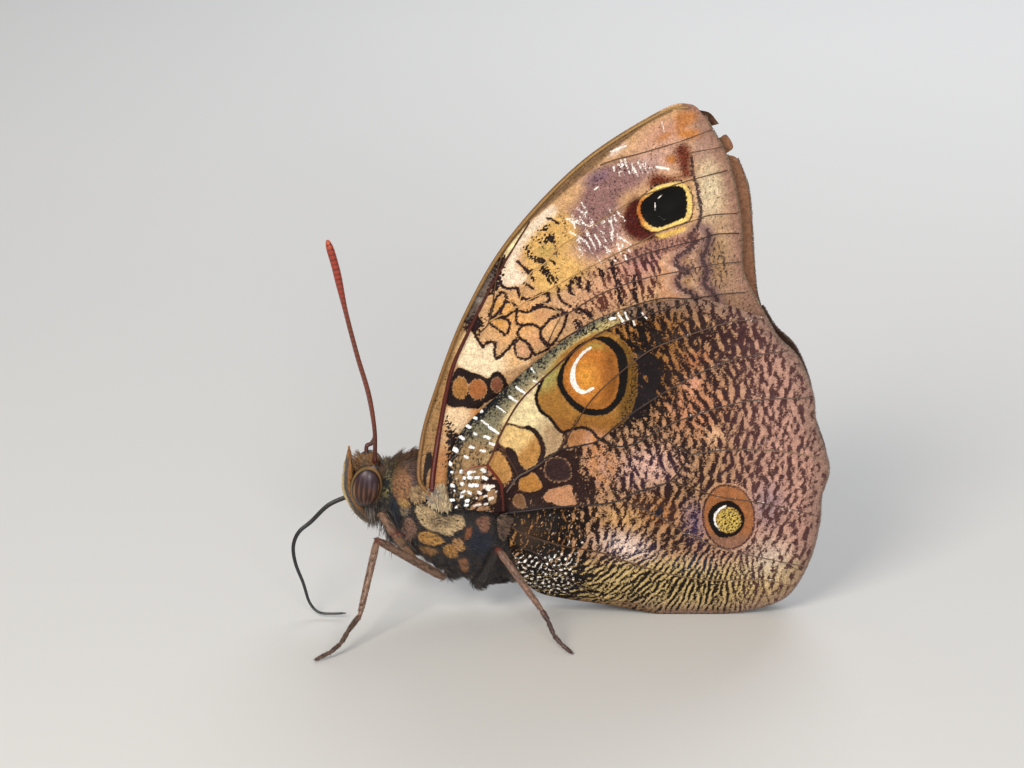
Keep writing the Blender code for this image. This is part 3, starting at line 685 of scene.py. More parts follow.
path = smooth_line(DRINKING_TUBE, TUBE_RING / 2)
share = np.linspace(0, 1, len(path))
radii = TUBE_RADII[0] + (TUBE_RADII[1] - TUBE_RADII[0]) * share ** 1.2
radii = radii * (1 - 0.07 * (np.arange(len(path)) % 2)) * (1 - ease((share - 0.97) / 0.03) * 0.5)
rings = tube_rings(path, radii, around=TUBE_POINTS)
angle = np.arange(TUBE_POINTS) * math.tau / TUBE_POINTS
groove = 1 - 0.3 * np.exp(-(((angle - math.pi / 2 + math.pi) % math.tau - math.pi) / 0.3) ** 2)
rings = path[:, None] + (rings - path[:, None]) * groove[None, :, None]
points, triangles = closed_over(rings)
tints = colours("#14110f", len(points))
wash(tints, "#4a2a1a", 0.6 * (np.arange(len(points)) // TUBE_POINTS < BROWN_RINGS))
tube = piece_from("drinking_tube", points, triangles, horn, {"tint": tints})
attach(tube, "root")
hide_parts("proboscis_base", "proboscis_bend", "proboscis_tip")

# Feelers: thin stalks of some forty hard rings, red-brown with dark joints, that thicken
# gently into a long orange-red club with a bare tip.
NEAR_FEELER = (
    (-16.9, -0.75, 14.9), (-16.85, -1.0, 18.0), (-17.3, -1.2, 21.7), (-18.3, -1.6, 25.7),
    (-19.3, -1.8, 30.1), (-20.1, -2.1, 34.2), (-20.8, -2.2, 36.9),
)
FAR_FEELER = (
    (-17.7, 0.8, 14.8), (-17.7, 0.95, 15.85), (-17.2, 1.1, 16.15), (-16.95, 1.2, 17.2), (-17.5, 1.4, 20.8),
    (-18.5, 1.7, 24.5), (-19.5, 1.9, 28.7), (-20.3, 2.1, 32.7), (-21.0, 2.2, 35.3),
)
STALK_RADIUS = 0.2
CLUB_RADIUS = 0.36
RING_LENGTH = 0.48
FEELER_POINTS = 20

hard_red, tree, shader = finish_named("red_brown_cuticle", 0.38, IOR=1.55, Coat_Weight=0.15,
                                      Coat_Roughness=0.3)
# Bare red-brown cuticle: semi-gloss and finely pitted.
spot = add(tree, "TexCoord").outputs["Object"]
pits = add(tree, "TexVoronoi", {"Vector": spot, "Scale": sized(0.06)}).outputs["Distance"]
tinted(tree, shader, pits, {"To Min": 1.12, "To Max": 0.7}, (0.4, 0.00003))

for label, line in (("left", NEAR_FEELER), ("right", FAR_FEELER)):
    path = smooth_line(line, RING_LENGTH / 6)
    along = np.concatenate([[0], np.cumsum(np.linalg.norm(np.diff(path, axis=0), axis=1))])
    share = along / along[-1]
    joint = np.abs((along / RING_LENGTH) % 1 - 0.5) * 2
    radii = STALK_RADIUS + (CLUB_RADIUS - STALK_RADIUS) * ease((share - 0.66) / 0.2)
    radii *= 1 - 0.1 * ease((joint - 0.7) / 0.3)
    radii *= np.sqrt(np.clip(1.0 - ((share - 0.95) / 0.053).clip(0) ** 2, 0.03, 1))
    radii[along < 0.5] *= 1.25
    points, triangles = closed_over(tube_rings(path, radii, around=FEELER_POINTS))
    t = np.append(np.repeat(share, FEELER_POINTS), (0, 1))
    ring = np.append(np.repeat(joint, FEELER_POINTS), (0, 0))
    tints = colours("#7a3418", len(points))
    washes(tints, (
        ("#5a1f12", ease((0.25 - t) / 0.2)), ("#a5351a", ease((t - 0.6) / 0.25)),
        ("#c8552a", ease((t - 0.95) / 0.05)), ("#2c120c", 0.75 * ease((ring - 0.6) / 0.3)),
    ))
    feeler = piece_from(f"{label}_feeler", points, triangles, hard_red, {"tint": tints})
    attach(feeler, "root")
    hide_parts(f"antenna_{label}")

# Legs: tubes of cuticle jointed at knee and ankle and clothed in flat tan scales, with short
# spines, a ringed foot and two hooked claws. The small first pair is folded to the chest.
MIDDLE_LEG = (
    (-10.5, -2.6, 4.1), (-16.6, -5.0, 8.9), (-18.15, -8.3, 2.8), (-19.2, -9.8, 1.85), (-19.8, -10.8, 1.1),
    (-20.7, -11.6, 0.6), (-22.0, -12.4, 0.24),
)
FAR_MIDDLE_LEG = (
    (-10.3, -2.6, 4.0), (-11.6, -6.6, 8.6), (-11.9, -8.8, 2.7), (-12.0, -9.9, 1.7), (-12.1, -10.8, 1.0),
    (-12.4, -11.7, 0.5), (-12.9, -12.4, 0.24),
)
HIND_LEG = (
    (-7.0, -2.85, 3.9), (-5.5, -5.0, 8.0), (-1.5, -8.2, 3.3), (-0.9, -8.9, 2.5), (-0.4, -9.7, 1.5),
    (0.3, -10.3, 0.8), (1.2, -10.8, 0.24),
)
FOLDED_SHIN = ((-16.4, -2.2, 10.5), (-15.2, -2.5, 8.5), (-13.2, -2.6, 6.0))
FOLDED_THIGH = ((-15.9, -1.9, 10.4), (-14.8, -2.1, 8.4), (-12.9, -2.2, 6.3))
WALKING_RADII = (0.36, 0.32, 0.25, 0.2, 0.18, 0.17, 0.14)
FOLDED_RADII = (0.26, 0.36, 0.24)
LEG_POINTS = 16
LEG_SCALES_PER_MM2 = 80
SPINE, SPINE_RADIUS = 0.4, 0.035
CLAW, CLAW_RADIUS = 0.42, 0.06
FLOOR_GAP = 0.03
# The lengths of a leg: line, radii, and hex colours of thigh, shin and foot.
MIDDLE_COLOURS = ("#84644f", "#9c7862", "#6e5444")
# The hind thigh's near-black is painted shade: it stands for the thigh lying in shadow under the body.
HIND_LENGTHS = ((HIND_LEG, WALKING_RADII, ("#2c2420", "#94705c", "#5e4440")),)
FOLDED_LENGTHS = (
    (FOLDED_SHIN, FOLDED_RADII, ("#9c765c", "#8e6a4c", "#8a6448")),
    (FOLDED_THIGH, FOLDED_RADII, ("#2a1d16", "#241913", "#241913")),
)
LEGS = (
    # name, lengths, start of its nodes' names
    ("left_middle_leg", ((MIDDLE_LEG, WALKING_RADII, MIDDLE_COLOURS),), "midleg_left"),
    ("right_middle_leg", ((FAR_MIDDLE_LEG, WALKING_RADII, MIDDLE_COLOURS),), "midleg_right"),
    ("left_hind_leg", HIND_LENGTHS, "hindleg_left"), ("right_hind_leg", HIND_LENGTHS, "hindleg_right"),
    ("left_folded_leg", FOLDED_LENGTHS, "foreleg_left"),
    ("right_folded_leg", FOLDED_LENGTHS, "foreleg_right"),
)


def leg_tube(joints, radii):
    """A path and its radii along straight lengths between joints, drawn in at each joint."""
    path, sizes = [], []
    for (a, b), (r, s) in zip(zip(joints[:-1], joints[1:]), zip(radii[:-1], radii[1:])):
        steps = max(6, int(np.linalg.norm(b - a) / 0.14))
        for t in np.arange(steps) / steps:
            path.append(a + (b - a) * t)
            swell = 0.72 + 0.28 * ease(min(t, 1 - t) / 0.12)
            sizes.append((r + (s - r) * t) * (swell + 0.06 * math.sin(math.pi * t)))
    path.append(joints[-1])
    sizes.append(radii[-1] * 0.5)
    path = np.array(path)
    for _ in range(2):
        path[1:-1] = path[1:-1] * 0.5 + (path[:-2] + path[2:]) * 0.25
    return path, np.array(sizes)


def spike(root, direction, length, radius, code):
    """A thin cone bent down a little but kept off the floor: points, triangles and colours."""
    steps = np.linspace(0, 1, 5)
    path = root + unit(direction) * (steps * length)[:, None]
    path = path - np.array((0, 0, 0.25)) * (steps ** 2 * length)[:, None]
    points, triangles = closed_over(tube_rings(path, radius * (1 - steps * 0.92), around=6))
    points[:, 2] = np.maximum(points[:, 2], FLOOR_GAP)
    return points, triangles, colours(code, len(points))


def leg_colours(places, index, knee, ankle, codes):
    """Thigh, shin and foot, with reddish joints and darker blotches among the scales."""
    found = colours(codes[0], len(places))
    washes(found, (
        (codes[1], ease((index - knee) / 4)), (codes[2], ease((index - ankle) / 4)),
        ("#8c3a24", np.exp(-((index - knee) / 2.5) ** 2) * 0.7),
        ("#33221c", 0.7 * ease(cloudy(places, 0.28, 70) * 1.5 - 0.3)),
    ))
    return found


for number, (name, tubes, node) in enumerate(LEGS):
    side = -1 if name.startswith("left") else 1
    nodes = [node] if tubes == FOLDED_LENGTHS else [f"{node}_{part}" for part in ("femur", "tibia", "tarsus")]
    draw = np.random.default_rng(60 + number)
    hard, scales = [], []
    for line, thickness, codes in tubes:
        joints = np.array(line) * (1, -side, 1)
        path, sizes = leg_tube(joints, thickness)
        knee, ankle = (np.argmin(np.linalg.norm(path - joints[at], axis=1)) for at in (1, 2))
        points, triangles = closed_over(tube_rings(path, sizes, around=LEG_POINTS))
        index = np.append(np.repeat(np.arange(len(path)), LEG_POINTS), (0, len(path) - 1))
        hard.append((points, triangles, leg_colours(points, index, knee, ankle, codes)))
        bare = piece_from("bare", points, triangles, cuticle)
        roots, out, _ = rooted_on(bare.data, LEG_SCALES_PER_MM2, 80 + number)
        bpy.data.objects.remove(bare)
        near = near_along(roots, path)
        tints = leg_colours(roots, near, knee, ankle, codes) * draw.uniform(0.7, 1.3, (len(roots), 1))
        scales.append((
            roots, out, unit(np.gradient(path, axis=0))[near], near[:, None] / len(path),
            (near < knee)[:, None], tints,
        ))
        if tubes == FOLDED_LENGTHS:
            continue
        for at in range(knee + 6, len(path) - 3, 4):
            turn = draw.uniform(0, math.tau)
            heading = unit(path[at + 1] - path[at - 1])
            sideways = unit(np.cross(heading, (math.cos(turn), math.sin(turn), 0.3)))
            length = SPINE * draw.uniform(0.6, 1.1)
            hard.append(spike(path[at] + sideways * sizes[at] * 0.8, heading + sideways * 0.8, length,
                              SPINE_RADIUS, "#2b1c18"))
        heading = unit(path[-1] - path[-6])
        for splay in (-0.5, 0.5):
            outward = heading + np.cross(heading, (0, 0, 1.0)) * splay + (0, 0, 0.15)
            hard.append(spike(path[-2], outward, CLAW, CLAW_RADIUS, "#2e1626"))
    points, triangles, tints = together(hard)
    leg = piece_from(name, points, triangles, hard_red, {"tint": tints})
    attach(leg, "root")
    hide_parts(*nodes)
    roots, out, lie, along, thigh, tints = (np.vstack(arrays) for arrays in zip(*scales))
    lie = lie + draw.normal(scale=0.12, size=roots.shape)
    length = draw.uniform(0.18, 0.34, len(roots)) * (1 + 0.5 * thigh[:, 0])
    on_map = np.hstack([along, np.arctan2(out[:, :1], out[:, 1:2]) / math.tau + 0.5])
    hair = coat(f"{name}_scales", roots, out, lie, length, 0.07, tints, on_map, rise=0.16)
    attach(hair, "root")

# Wings: two membranes a side, thinner than paper, held by stiff veins and tiled on both faces
# with rows of scales that carry all the colour. They are closed upright over the back.
CELL = 0.13
HALF_SHEET, HALF_EDGE = 0.12, 0.03
SCALE_SIZE = 0.1
VEIN_POINTS = 8
FORE_REST, HIND_REST, PLATE_STEP, BODY_CLEAR = 0.55, 1.65, 1.1, 0.7
BULGE_HEIGHT, TAIL_FADE = 1.35, 4
COVER_FROM, COVER_WIDTH = 4.0, 2.7
SHEET_FLOOR, VEIN_FLOOR, FRINGE_FLOOR = 0.02, 0.15, 0.05
VEIN_OUT, VEIN_PAST_EDGE, FRINGE_STEP = 0.09, 0.04, 0.04
FORE_HINGE = (-11.6, 13.0)
FORE_INNER = ((-10.6, 12.8), (19.2, 25.2))
FAR_WING_TURN = 2.3
TRUNK_SECTIONS = (
    # x, top, bottom, half width of the solids that the wings pass over
    (-15.7, 14.3, 9.9, 1.5), *BODY_SECTIONS[1:7], (-4.8, 11.2, 2.4, 2.6), (-4.5, 10.6, 2.5, 2.4),
    *BODY_SECTIONS[8:13], (9.0, 2.9, 1.6, 0.5),
)


def soft_max(a, b, blend=0.8):
    overlap = np.maximum(blend - np.abs(a - b), 0) / blend
    return np.maximum(a, b) + overlap * overlap * blend / 4


def body_bulge(x, z):
    """How far from the middle plane a wing lies to pass over the body at x, z."""
    top, bottom, half = body_at(x, TRUNK_SECTIONS)
    height = (z - (top + bottom) / 2) / ((top - bottom) / 2)
    tail = ease((TRUNK_SECTIONS[-1][0] + TAIL_FADE - x) / TAIL_FADE)
    return (half + BODY_CLEAR) * np.exp(-(height / BULGE_HEIGHT) ** 2) * tail


def fore_side(x, z):
    """Distance of the forewing's middle surface from the body's middle plane."""
    return soft_max(FORE_REST, body_bulge(x, z))


def hind_side(x, z):
    """The hindwing lies outside the forewing, and hugs the body below the forewing's lower edge."""
    start, end = np.array(FORE_INNER)
    along = (end - start) / np.linalg.norm(end - start)
    above = (z - start[1]) * along[0] - (x - start[0]) * along[1]
    covered = ease((above + COVER_FROM) / COVER_WIDTH)
    hugging = soft_max(HIND_REST, body_bulge(x, z))
    return hugging * (1 - covered) + (fore_side(x, z) + PLATE_STEP) * covered


def turned(points, degrees):
    """Points x, z turned about the forewing's hinge, tip towards +X."""
    angle = math.radians(degrees)
    turn = np.array(((math.cos(angle), math.sin(angle)), (-math.sin(angle), math.cos(angle))))
    return (np.array(points) - FORE_HINGE) @ turn.T + FORE_HINGE


def ink(distance, soft=0.3):
    """A field that passes 0.5 where the distance in mm passes zero, and is 1 well inside."""
    return np.clip(0.5 - distance / soft, 0, 1)


def outline_of(*parts, step=0.25):
    """A closed outline along smooth curves, each of which starts where the last one ends."""
    return np.vstack([smooth_line(part, step)[:-1] for part in parts])


class Painting:
    """The marks of one wing on a grid of x, z: a ground colour, dark scales over it and white on
    top, which is pearly scales in places and painted highlights in others. Dark scales lie where
    cover passes 0.5, and the white where shine does."""

    def __init__(self, edge, veins, ground, dark, seed, margin=0.6):
        low, high = edge.min(axis=0) - margin, edge.max(axis=0) + margin
        self.x, self.z = np.meshgrid(np.arange(low[0], high[0], CELL), np.arange(low[1], high[1], CELL))
        self.where = np.stack([self.x.ravel(), self.z.ravel()], axis=1)
        self.inside = -to_edge(self.x, self.z, edge)
        self.lines = [smooth_line(vein[0], 0.8) for vein in veins]
        self.vein_near = np.min([to_line(self.x, self.z, line) for line in self.lines], axis=0)
        self.ground, self.dark, self.pearl = (
            colours(code, self.x.size).reshape(*self.x.shape, 3) for code in (ground, dark, "#fff6ec"))
        self.cover, self.shine = np.zeros(self.x.shape), np.zeros(self.x.shape)
        self.seed = seed

    def measured(self, distance, points, reach=2, far=9.0):
        """Distances to a line or an outline, worked out within reach of it and left far elsewhere."""
        low, high = points.min(axis=0) - reach, points.max(axis=0) + reach
        close = (self.x > low[0]) & (self.x < high[0]) & (self.z > low[1]) & (self.z < high[1])
        found = np.full(self.x.shape, far)
        found[close] = distance(self.x[close], self.z[close], points)
        return found

    def edge_of(self, outline):
        return self.measured(to_edge, rounded(outline))

    def within(self, outline, soft=0.3, grow=0.0):
        """1 inside a closed outline, easing to 0 over a width about it."""
        return ease(0.5 + (grow - self.edge_of(outline)) / soft)

    def near(self, line):
        return self.measured(to_line, smooth_line(line, 0.3))

    def oval(self, x, z, long, high, turn=0.0):
        """1 in the middle of an oval, easing to 0 at its edge."""
        c, s = math.cos(math.radians(turn)), math.sin(math.radians(turn))
        u, w = self.x - x, self.z - z
        return ease(1 - np.hypot((u * c + w * s) / long, (w * c - u * s) / high))

    def uneven(self, size):
        self.seed += 1
        return cloudy(self.where, size, self.seed).reshape(self.x.shape)

    def heading(self):
        """The direction of the veins round every point, as an angle, whichever way they run."""
        starts = np.vstack([line[:-1] for line in self.lines])
        steps = np.vstack([np.diff(line, axis=0) for line in self.lines])
        across, upward = np.zeros(self.x.shape), np.zeros(self.x.shape)
        for (sx, sz), angle in zip(starts, np.arctan2(steps[:, 1], steps[:, 0])):
            share = 1 / ((self.x - sx) ** 2 + (self.z - sz) ** 2 + 1.5) ** 2
            across += share * math.cos(2 * angle)
            upward += share * math.sin(2 * angle)
        return np.arctan2(upward, across) / 2

    def bars(self, period, heading=None, spread=0.75, width=0.5, rounds=1):
        """Bars across a heading, or dots without one, from noise sent through a filter that keeps
        about one spacing. More rounds make them more even. The values run from about -2 to 2."""
        self.seed += 1
        draw = np.random.default_rng(self.seed)
        shape = self.x.shape
        fz = np.fft.fftfreq(shape[0], CELL)[:, None]
        fx = np.fft.rfftfreq(shape[1], CELL)[None]
        band = np.exp(-((np.hypot(fx, fz) * period - 1) / width) ** 2)
        fans, shares = [band], [1.0]
        if heading is not None:
            bearings = np.arange(8) * math.pi / 8
            off = [(np.arctan2(fz, fx) - b + math.pi / 2) % math.pi - math.pi / 2 for b in bearings]
            fans = [band * np.exp(-(o / spread) ** 2) for o in off]
            off = [(heading - b + math.pi / 2) % math.pi - math.pi / 2 for b in bearings]
            close = [np.exp(-(o / 0.3) ** 2) for o in off]
            shares = [c / sum(close) for c in close]
        field = draw.normal(size=shape)
        for _ in range(rounds):
            waves = np.fft.rfft2(field)
            settled = sum(np.fft.irfft2(waves * fan, s=shape) * share for fan, share in zip(fans, shares))
            settled /= settled.std()
            field = np.tanh(1.5 * settled) + 0.4 * draw.normal(size=shape)
        return settled

    def darken(self, distance):
        """Dark scales wherever a distance in mm is below zero."""
        self.cover = np.maximum(self.cover, ink(distance))

    def clear(self, distance):
        """No dark scales wherever a distance in mm is below zero."""
        self.cover = np.minimum(self.cover, 1 - ink(distance))

    def settle(self, share, cover):
        """Brings the dark scales' cover to another one, by a share from 0 to 1."""
        self.cover = self.cover * (1 - share) + share * cover

    def dashes(self, marks, wider=1.0):
        """White strokes, some pearly scales and some painted highlights, each from its middle x, z, its
        length, its slant in degrees and half width.
        """
        for x, z, long, slant, half in marks:
            c, s = math.cos(math.radians(slant)) * long / 2, math.sin(math.radians(slant)) * long / 2
            stroke = self.measured(to_line, np.array(((x - c, z - s), (x + c, z + s))))
            self.shine = np.maximum(self.shine, ink(stroke - half * wider))

    def layers(self):
        return {
            "ground": np.dstack([self.ground, np.ones(self.x.shape)]),
            "dark": np.dstack([self.dark, np.clip(self.cover, 0, 1)]),
            "pearl": np.dstack([self.pearl, np.clip(self.shine, 0, 1)]),
        }


wing_scales, tree, shader = finish_named("wing_scales", 0.5, Specular_IOR_Level=0.14)
# Overlapping scales of chitin, each one plain colour: crisp little tiles where marks meet,
# a silky half gloss, and white that is glossier: pearly white scales, and painted highlights
# where the membrane creases.
ground = add(tree, "Attribute", attribute_name="ground")
dark = add(tree, "Attribute", attribute_name="dark")
pearl = add(tree, "Attribute", attribute_name="pearl")
axes = add(tree, "SeparateXYZ", {0: add(tree, "TexCoord").outputs["Object"]})
plane = add(tree, "CombineXYZ", {"X": axes.outputs["X"], "Y": axes.outputs["Z"]}).outputs["Vector"]
tile = add(tree, "TexVoronoi", {"Vector": plane, "Scale": sized(SCALE_SIZE)}, voronoi_dimensions="2D")
chance = add(tree, "SeparateColor", {0: tile.outputs["Color"]})
ragged, blotch = (
    add(tree, "TexNoise", {"Vector": plane, "Scale": sized(size), "Detail": detail}, noise_dimensions="2D")
    for size, detail in ((0.17, 2.0), (0.5, 3.0))
)


def scattered(field, chosen, amount, sharp):
    """Where a field passes 0.5, moved a little for each scale by its own chance and by noise."""
    by_tile = add(tree, "Math", {0: chosen, 1: 0.5}, operation="SUBTRACT").outputs[0]
    first = add(tree, "Math", {0: by_tile, 1: amount, 2: field}, operation="MULTIPLY_ADD").outputs[0]
    by_noise = add(tree, "Math", {0: ragged.outputs["Fac"], 1: 0.5}, operation="SUBTRACT").outputs[0]
    second = add(tree, "Math", {0: by_noise, 1: amount * 1.4, 2: first}, operation="MULTIPLY_ADD").outputs[0]
    return add(tree, "MapRange", {"Value": second, "From Min": 0.5 - sharp, "From Max": 0.5 + sharp},
               interpolation_type="SMOOTHSTEP").outputs["Result"]


covered = scattered(dark.outputs["Alpha"], chance.outputs["Red"], 0.3, 0.17)
shining = scattered(pearl.outputs["Alpha"], chance.outputs["Green"], 0.2, 0.1)
lit = ground.outputs["Color"]
for share, colour in ((covered, dark.outputs["Color"]), (shining, pearl.outputs["Color"])):
    lit = add(tree, "Mix", {"Factor": share, "A": lit, "B": colour}, data_type="RGBA").outputs["Result"]
own = add(tree, "MapRange", {"Value": chance.outputs["Blue"], "To Min": 0.72, "To Max": 1.22})
patchy = add(tree, "MapRange", {"Value": blotch.outputs["Fac"], "From Min": 0.3, "From Max": 0.7,
                                "To Min": 0.84, "To Max": 1.14})
shade = add(tree, "Math", {0: own.outputs["Result"], 1: patchy.outputs["Result"]}, operation="MULTIPLY")
tiled = add(tree, "VectorMath", {0: lit, "Scale": shade.outputs[0]}, operation="SCALE").outputs["Vector"]
tree.links.new(tiled, shader.inputs["Base Color"])
gloss = add(tree, "MapRange", {"Value": shining, "To Min": 0.52, "To Max": 0.3}).outputs["Result"]
tree.links.new(gloss, shader.inputs["Roughness"])
bump = add(tree, "Bump", {"Height": tile.outputs["Distance"], "Strength": 0.4, "Distance": 0.00002},
           invert=True)
tree.links.new(bump.outputs["Normal"], shader.inputs["Normal"])


def wing_sheet(name, sign, side, edge, paint, relief, upper, turn, node):
    """One wing as a closed sheet over the cells of its painting's grid that lie inside its edge, with
    the outer points drawn onto it. The painting is on the under side, and upper colours the other."""
    x, z = paint.x, paint.z
    rows, columns = x.shape
    kept = to_edge((x[:-1, :-1] + x[1:, 1:]) / 2, (z[:-1, :-1] + z[1:, 1:]) / 2, edge) < 0
    index = np.arange(rows * columns).reshape(rows, columns)
    quads = np.stack([index[:-1, :-1], index[:-1, 1:], index[1:, 1:], index[1:, :-1]], axis=-1)
    touched = np.zeros((rows, columns), int)
    for down, right in ((0, 0), (0, 1), (1, 0), (1, 1)):
        touched[down:down + rows - 1, right:right + columns - 1] += kept
    used = np.flatnonzero(touched.ravel() > 0)
    flat = np.stack([x.ravel()[used], z.ravel()[used]], axis=1)
    rim = touched.ravel()[used] < 4
    ends = np.vstack([edge, edge[:1]])
    best = np.full(rim.sum(), 1e9)
    drawn = flat[rim].copy()
    for a, b in zip(ends[:-1], ends[1:]):
        share = np.clip((flat[rim] - a) @ (b - a) / max((b - a) @ (b - a), 1e-12), 0, 1)
        onto = a + share[:, None] * (b - a)
        distance = np.linalg.norm(flat[rim] - onto, axis=1)
        drawn[distance < best] = onto[distance < best]
        best = np.minimum(best, distance)
    flat[rim] = drawn
    depth = np.clip(-to_edge(flat[:, 0], flat[:, 1], edge), 0, None)
    lying = turned(flat, turn)
    half = HALF_EDGE + (HALF_SHEET - HALF_EDGE) * ease(depth / 0.9)
    raised = relief.ravel()[used] * ease(depth / 0.5)
    across = side(lying[:, 0], lying[:, 1])
    level = np.maximum(lying[:, 1], SHEET_FLOOR)
    outer = np.stack([lying[:, 0], sign * (across + half + raised), level], axis=1)
    inner = np.stack([lying[:, 0], sign * (across - half + raised * 0.6), level], axis=1)
    renumber = np.full(rows * columns, -1)
    renumber[used] = np.arange(len(used))
    faces = renumber[quads[kept]]
    face = np.vstack([faces[:, [0, 1, 2]], faces[:, [0, 2, 3]]])
    count = len(used)
    padded = np.pad(kept, 1)
    sides = []
    for down, right, pair in ((-1, 0, (0, 1)), (1, 0, (2, 3)), (0, -1, (3, 0)), (0, 1, (1, 2))):
        bare = kept & ~padded[1 + down:rows + down, 1 + right:columns + right]
        sides.append(renumber[quads[bare]][:, pair])
    a, b = np.vstack(sides).T
    closing = [np.stack([b, a, a + count], axis=1), np.stack([b, a + count, b + count], axis=1)]
    triangles = np.vstack([face, face[:, ::-1] + count, *closing])[:, ::-sign]
    held = {layer: np.vstack([values.reshape(-1, 4)[used], upper(flat[:, 0], flat[:, 1])[layer]])
            for layer, values in paint.layers().items()}
    sheet = piece_from(name, np.vstack([outer, inner]), triangles, wing_scales, held)
    lowest, reach = flat.min(axis=0), flat.max(axis=0) - flat.min(axis=0)
    corner = (flat - lowest) / reach * (0.98, 0.48) + 0.01
    on_map = np.vstack([corner, corner + (0.0, 0.5)])[triangles.ravel()]
    sheet.data.uv_layers.new(name="OFBake").data.foreach_set("uv", on_map.astype(np.float32).ravel())
    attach(sheet, "root")
    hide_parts(node)


def plain_face(ground):
    """The layers of the hidden upper side: a ground colour alone."""
    count = len(ground)
    return {"ground": np.hstack([ground, np.ones((count, 1))]),
            "dark": np.tile((0.02, 0.012, 0.01, 0.25), (count, 1)),
            "pearl": np.tile((0.8, 0.8, 0.8, 0.0), (count, 1))}


vein_cuticle, tree, shader = finish_named("vein_cuticle", 0.42, Specular_IOR_Level=0.3, Coat_Weight=0.1,
                                          Coat_Roughness=0.12)
# Bare tubes of cuticle: a slight gloss, brown to wine red, dusted with stray scales.
spot = add(tree, "TexCoord").outputs["Object"]
dust = add(tree, "TexVoronoi", {"Vector": spot, "Scale": sized(0.13)}).outputs["Distance"]
tinted(tree, shader, dust, {"To Min": 1.25, "To Max": 0.6}, (0.4, 0.00003), invert=False)


def vein_tubes(name, sign, side, veins, turn, edge):
    """The veins as slim tubes half sunk in the membrane, each (points, radii, hex colours), cut off
    at the wing's edge."""
    parts = []
    for line, (thick, thin), (first, last) in veins:
        flat = smooth_line(line, 0.22)
        held = np.nonzero(to_edge(flat[:, 0], flat[:, 1], edge) < VEIN_PAST_EDGE)[0].max() + 1
        flat = turned(flat[:held], turn)
        t = np.linspace(0, 1, len(flat))
        across = sign * (side(flat[:, 0], flat[:, 1]) + HALF_SHEET + VEIN_OUT)
        path = np.stack([flat[:, 0], across, np.maximum(flat[:, 1], VEIN_FLOOR)], axis=1)
        points, triangles = closed_over(tube_rings(path, thick + (thin - thick) * t, around=VEIN_POINTS))
        tints = colours(first, len(points))
        wash(tints, last, ease(np.append(np.repeat(t, VEIN_POINTS), (0, 1))))
        parts.append((points, triangles, tints))
    points, triangles, tints = together(parts)
    piece = piece_from(name, points, triangles, vein_cuticle, {"tint": tints})
    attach(piece, "root")


def fringe(name, sign, side, edge, turn, length, codes, seed):
    """Hair-like scales that stand out from a wing's edge, in its own plane."""
    draw = np.random.default_rng(seed)
    line = smooth_line(edge, FRINGE_STEP)
    heading = np.gradient(line, axis=0).repeat(2, axis=0)
    line = line.repeat(2, axis=0) + draw.normal(scale=0.03, size=heading.shape)
    outward = unit(np.stack([heading[:, 1], -heading[:, 0]], axis=1))
    outward = outward + draw.normal(scale=0.18, size=line.shape)
    line = line - unit(outward) * 0.12
    outward = turned(line + outward, turn) - turned(line, turn)
    line = turned(line, turn)
    across = sign * (side(line[:, 0], line[:, 1]) + draw.uniform(-0.04, 0.05, len(line)))
    roots = np.stack([line[:, 0], across, np.maximum(line[:, 1], FRINGE_FLOOR)], axis=1)
    lie = np.stack([outward[:, 0], 0 * across, outward[:, 1]], axis=1)
    out = np.tile((0.0, float(sign), 0.0), (len(roots), 1))
    tints = colours(codes[0], len(roots))
    wash(tints, codes[1], draw.uniform(0, 1, len(roots)))
    on_map = np.stack([np.linspace(0, 0.99, len(roots)), np.full(len(roots), 0.4)], axis=1)
    piece = coat(name, roots, out, lie, draw.uniform(0.6, 1.1, len(roots)) * length, 0.06, tints, on_map,
                 rise=0.02)
    co = points_of(piece.data)
    co[:, 2] = np.maximum(co[:, 2], 0.0)
    piece.data.vertices.foreach_set("co", (co * MM).astype(np.float32).ravel())
    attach(piece, "root")


# Hindwings: broad and rounded, with a stiff lobe at the shoulder, two eyespots, and dark bars
# like ripples over the rest, which run across the veins.
HIND_FRONT = (
    (-8.1, 11.6), (-9.6, 12.1), (-10.2, 14.5), (-9.1, 18.1), (-5.7, 21.7), (-1.85, 25.3), (1.75, 28.05),
    (6.1, 30.25), (12.8, 31.1), (18.8, 29.4),
)
HIND_EDGE = (
    (18.8, 29.4), (20.0, 27.4), (21.9, 25.4), (23.3, 22.0), (23.7, 19.0), (25.0, 14.8), (24.4, 11.8),
    (24.3, 9.2), (23.4, 5.2), (21.3, 1.7), (17.4, 0.3), (14.5, 0.0), (9.5, 0.0),
)
HIND_BACK = ((9.5, 0.0), (5.0, 0.9), (0.3, 1.8), (-1.8, 2.5), (-3.2, 4.2), (-4.5, 7.8), (-4.9, 10.4))
FRONT_VEIN = (
    (-6.5, 15.3), (-6.0, 16.2), (-5.3, 18.0), (-3.5, 21.3), (-0.8, 24.1), (1.8, 26.5), (5.3, 28.7),
    (11.9, 30.9),
)
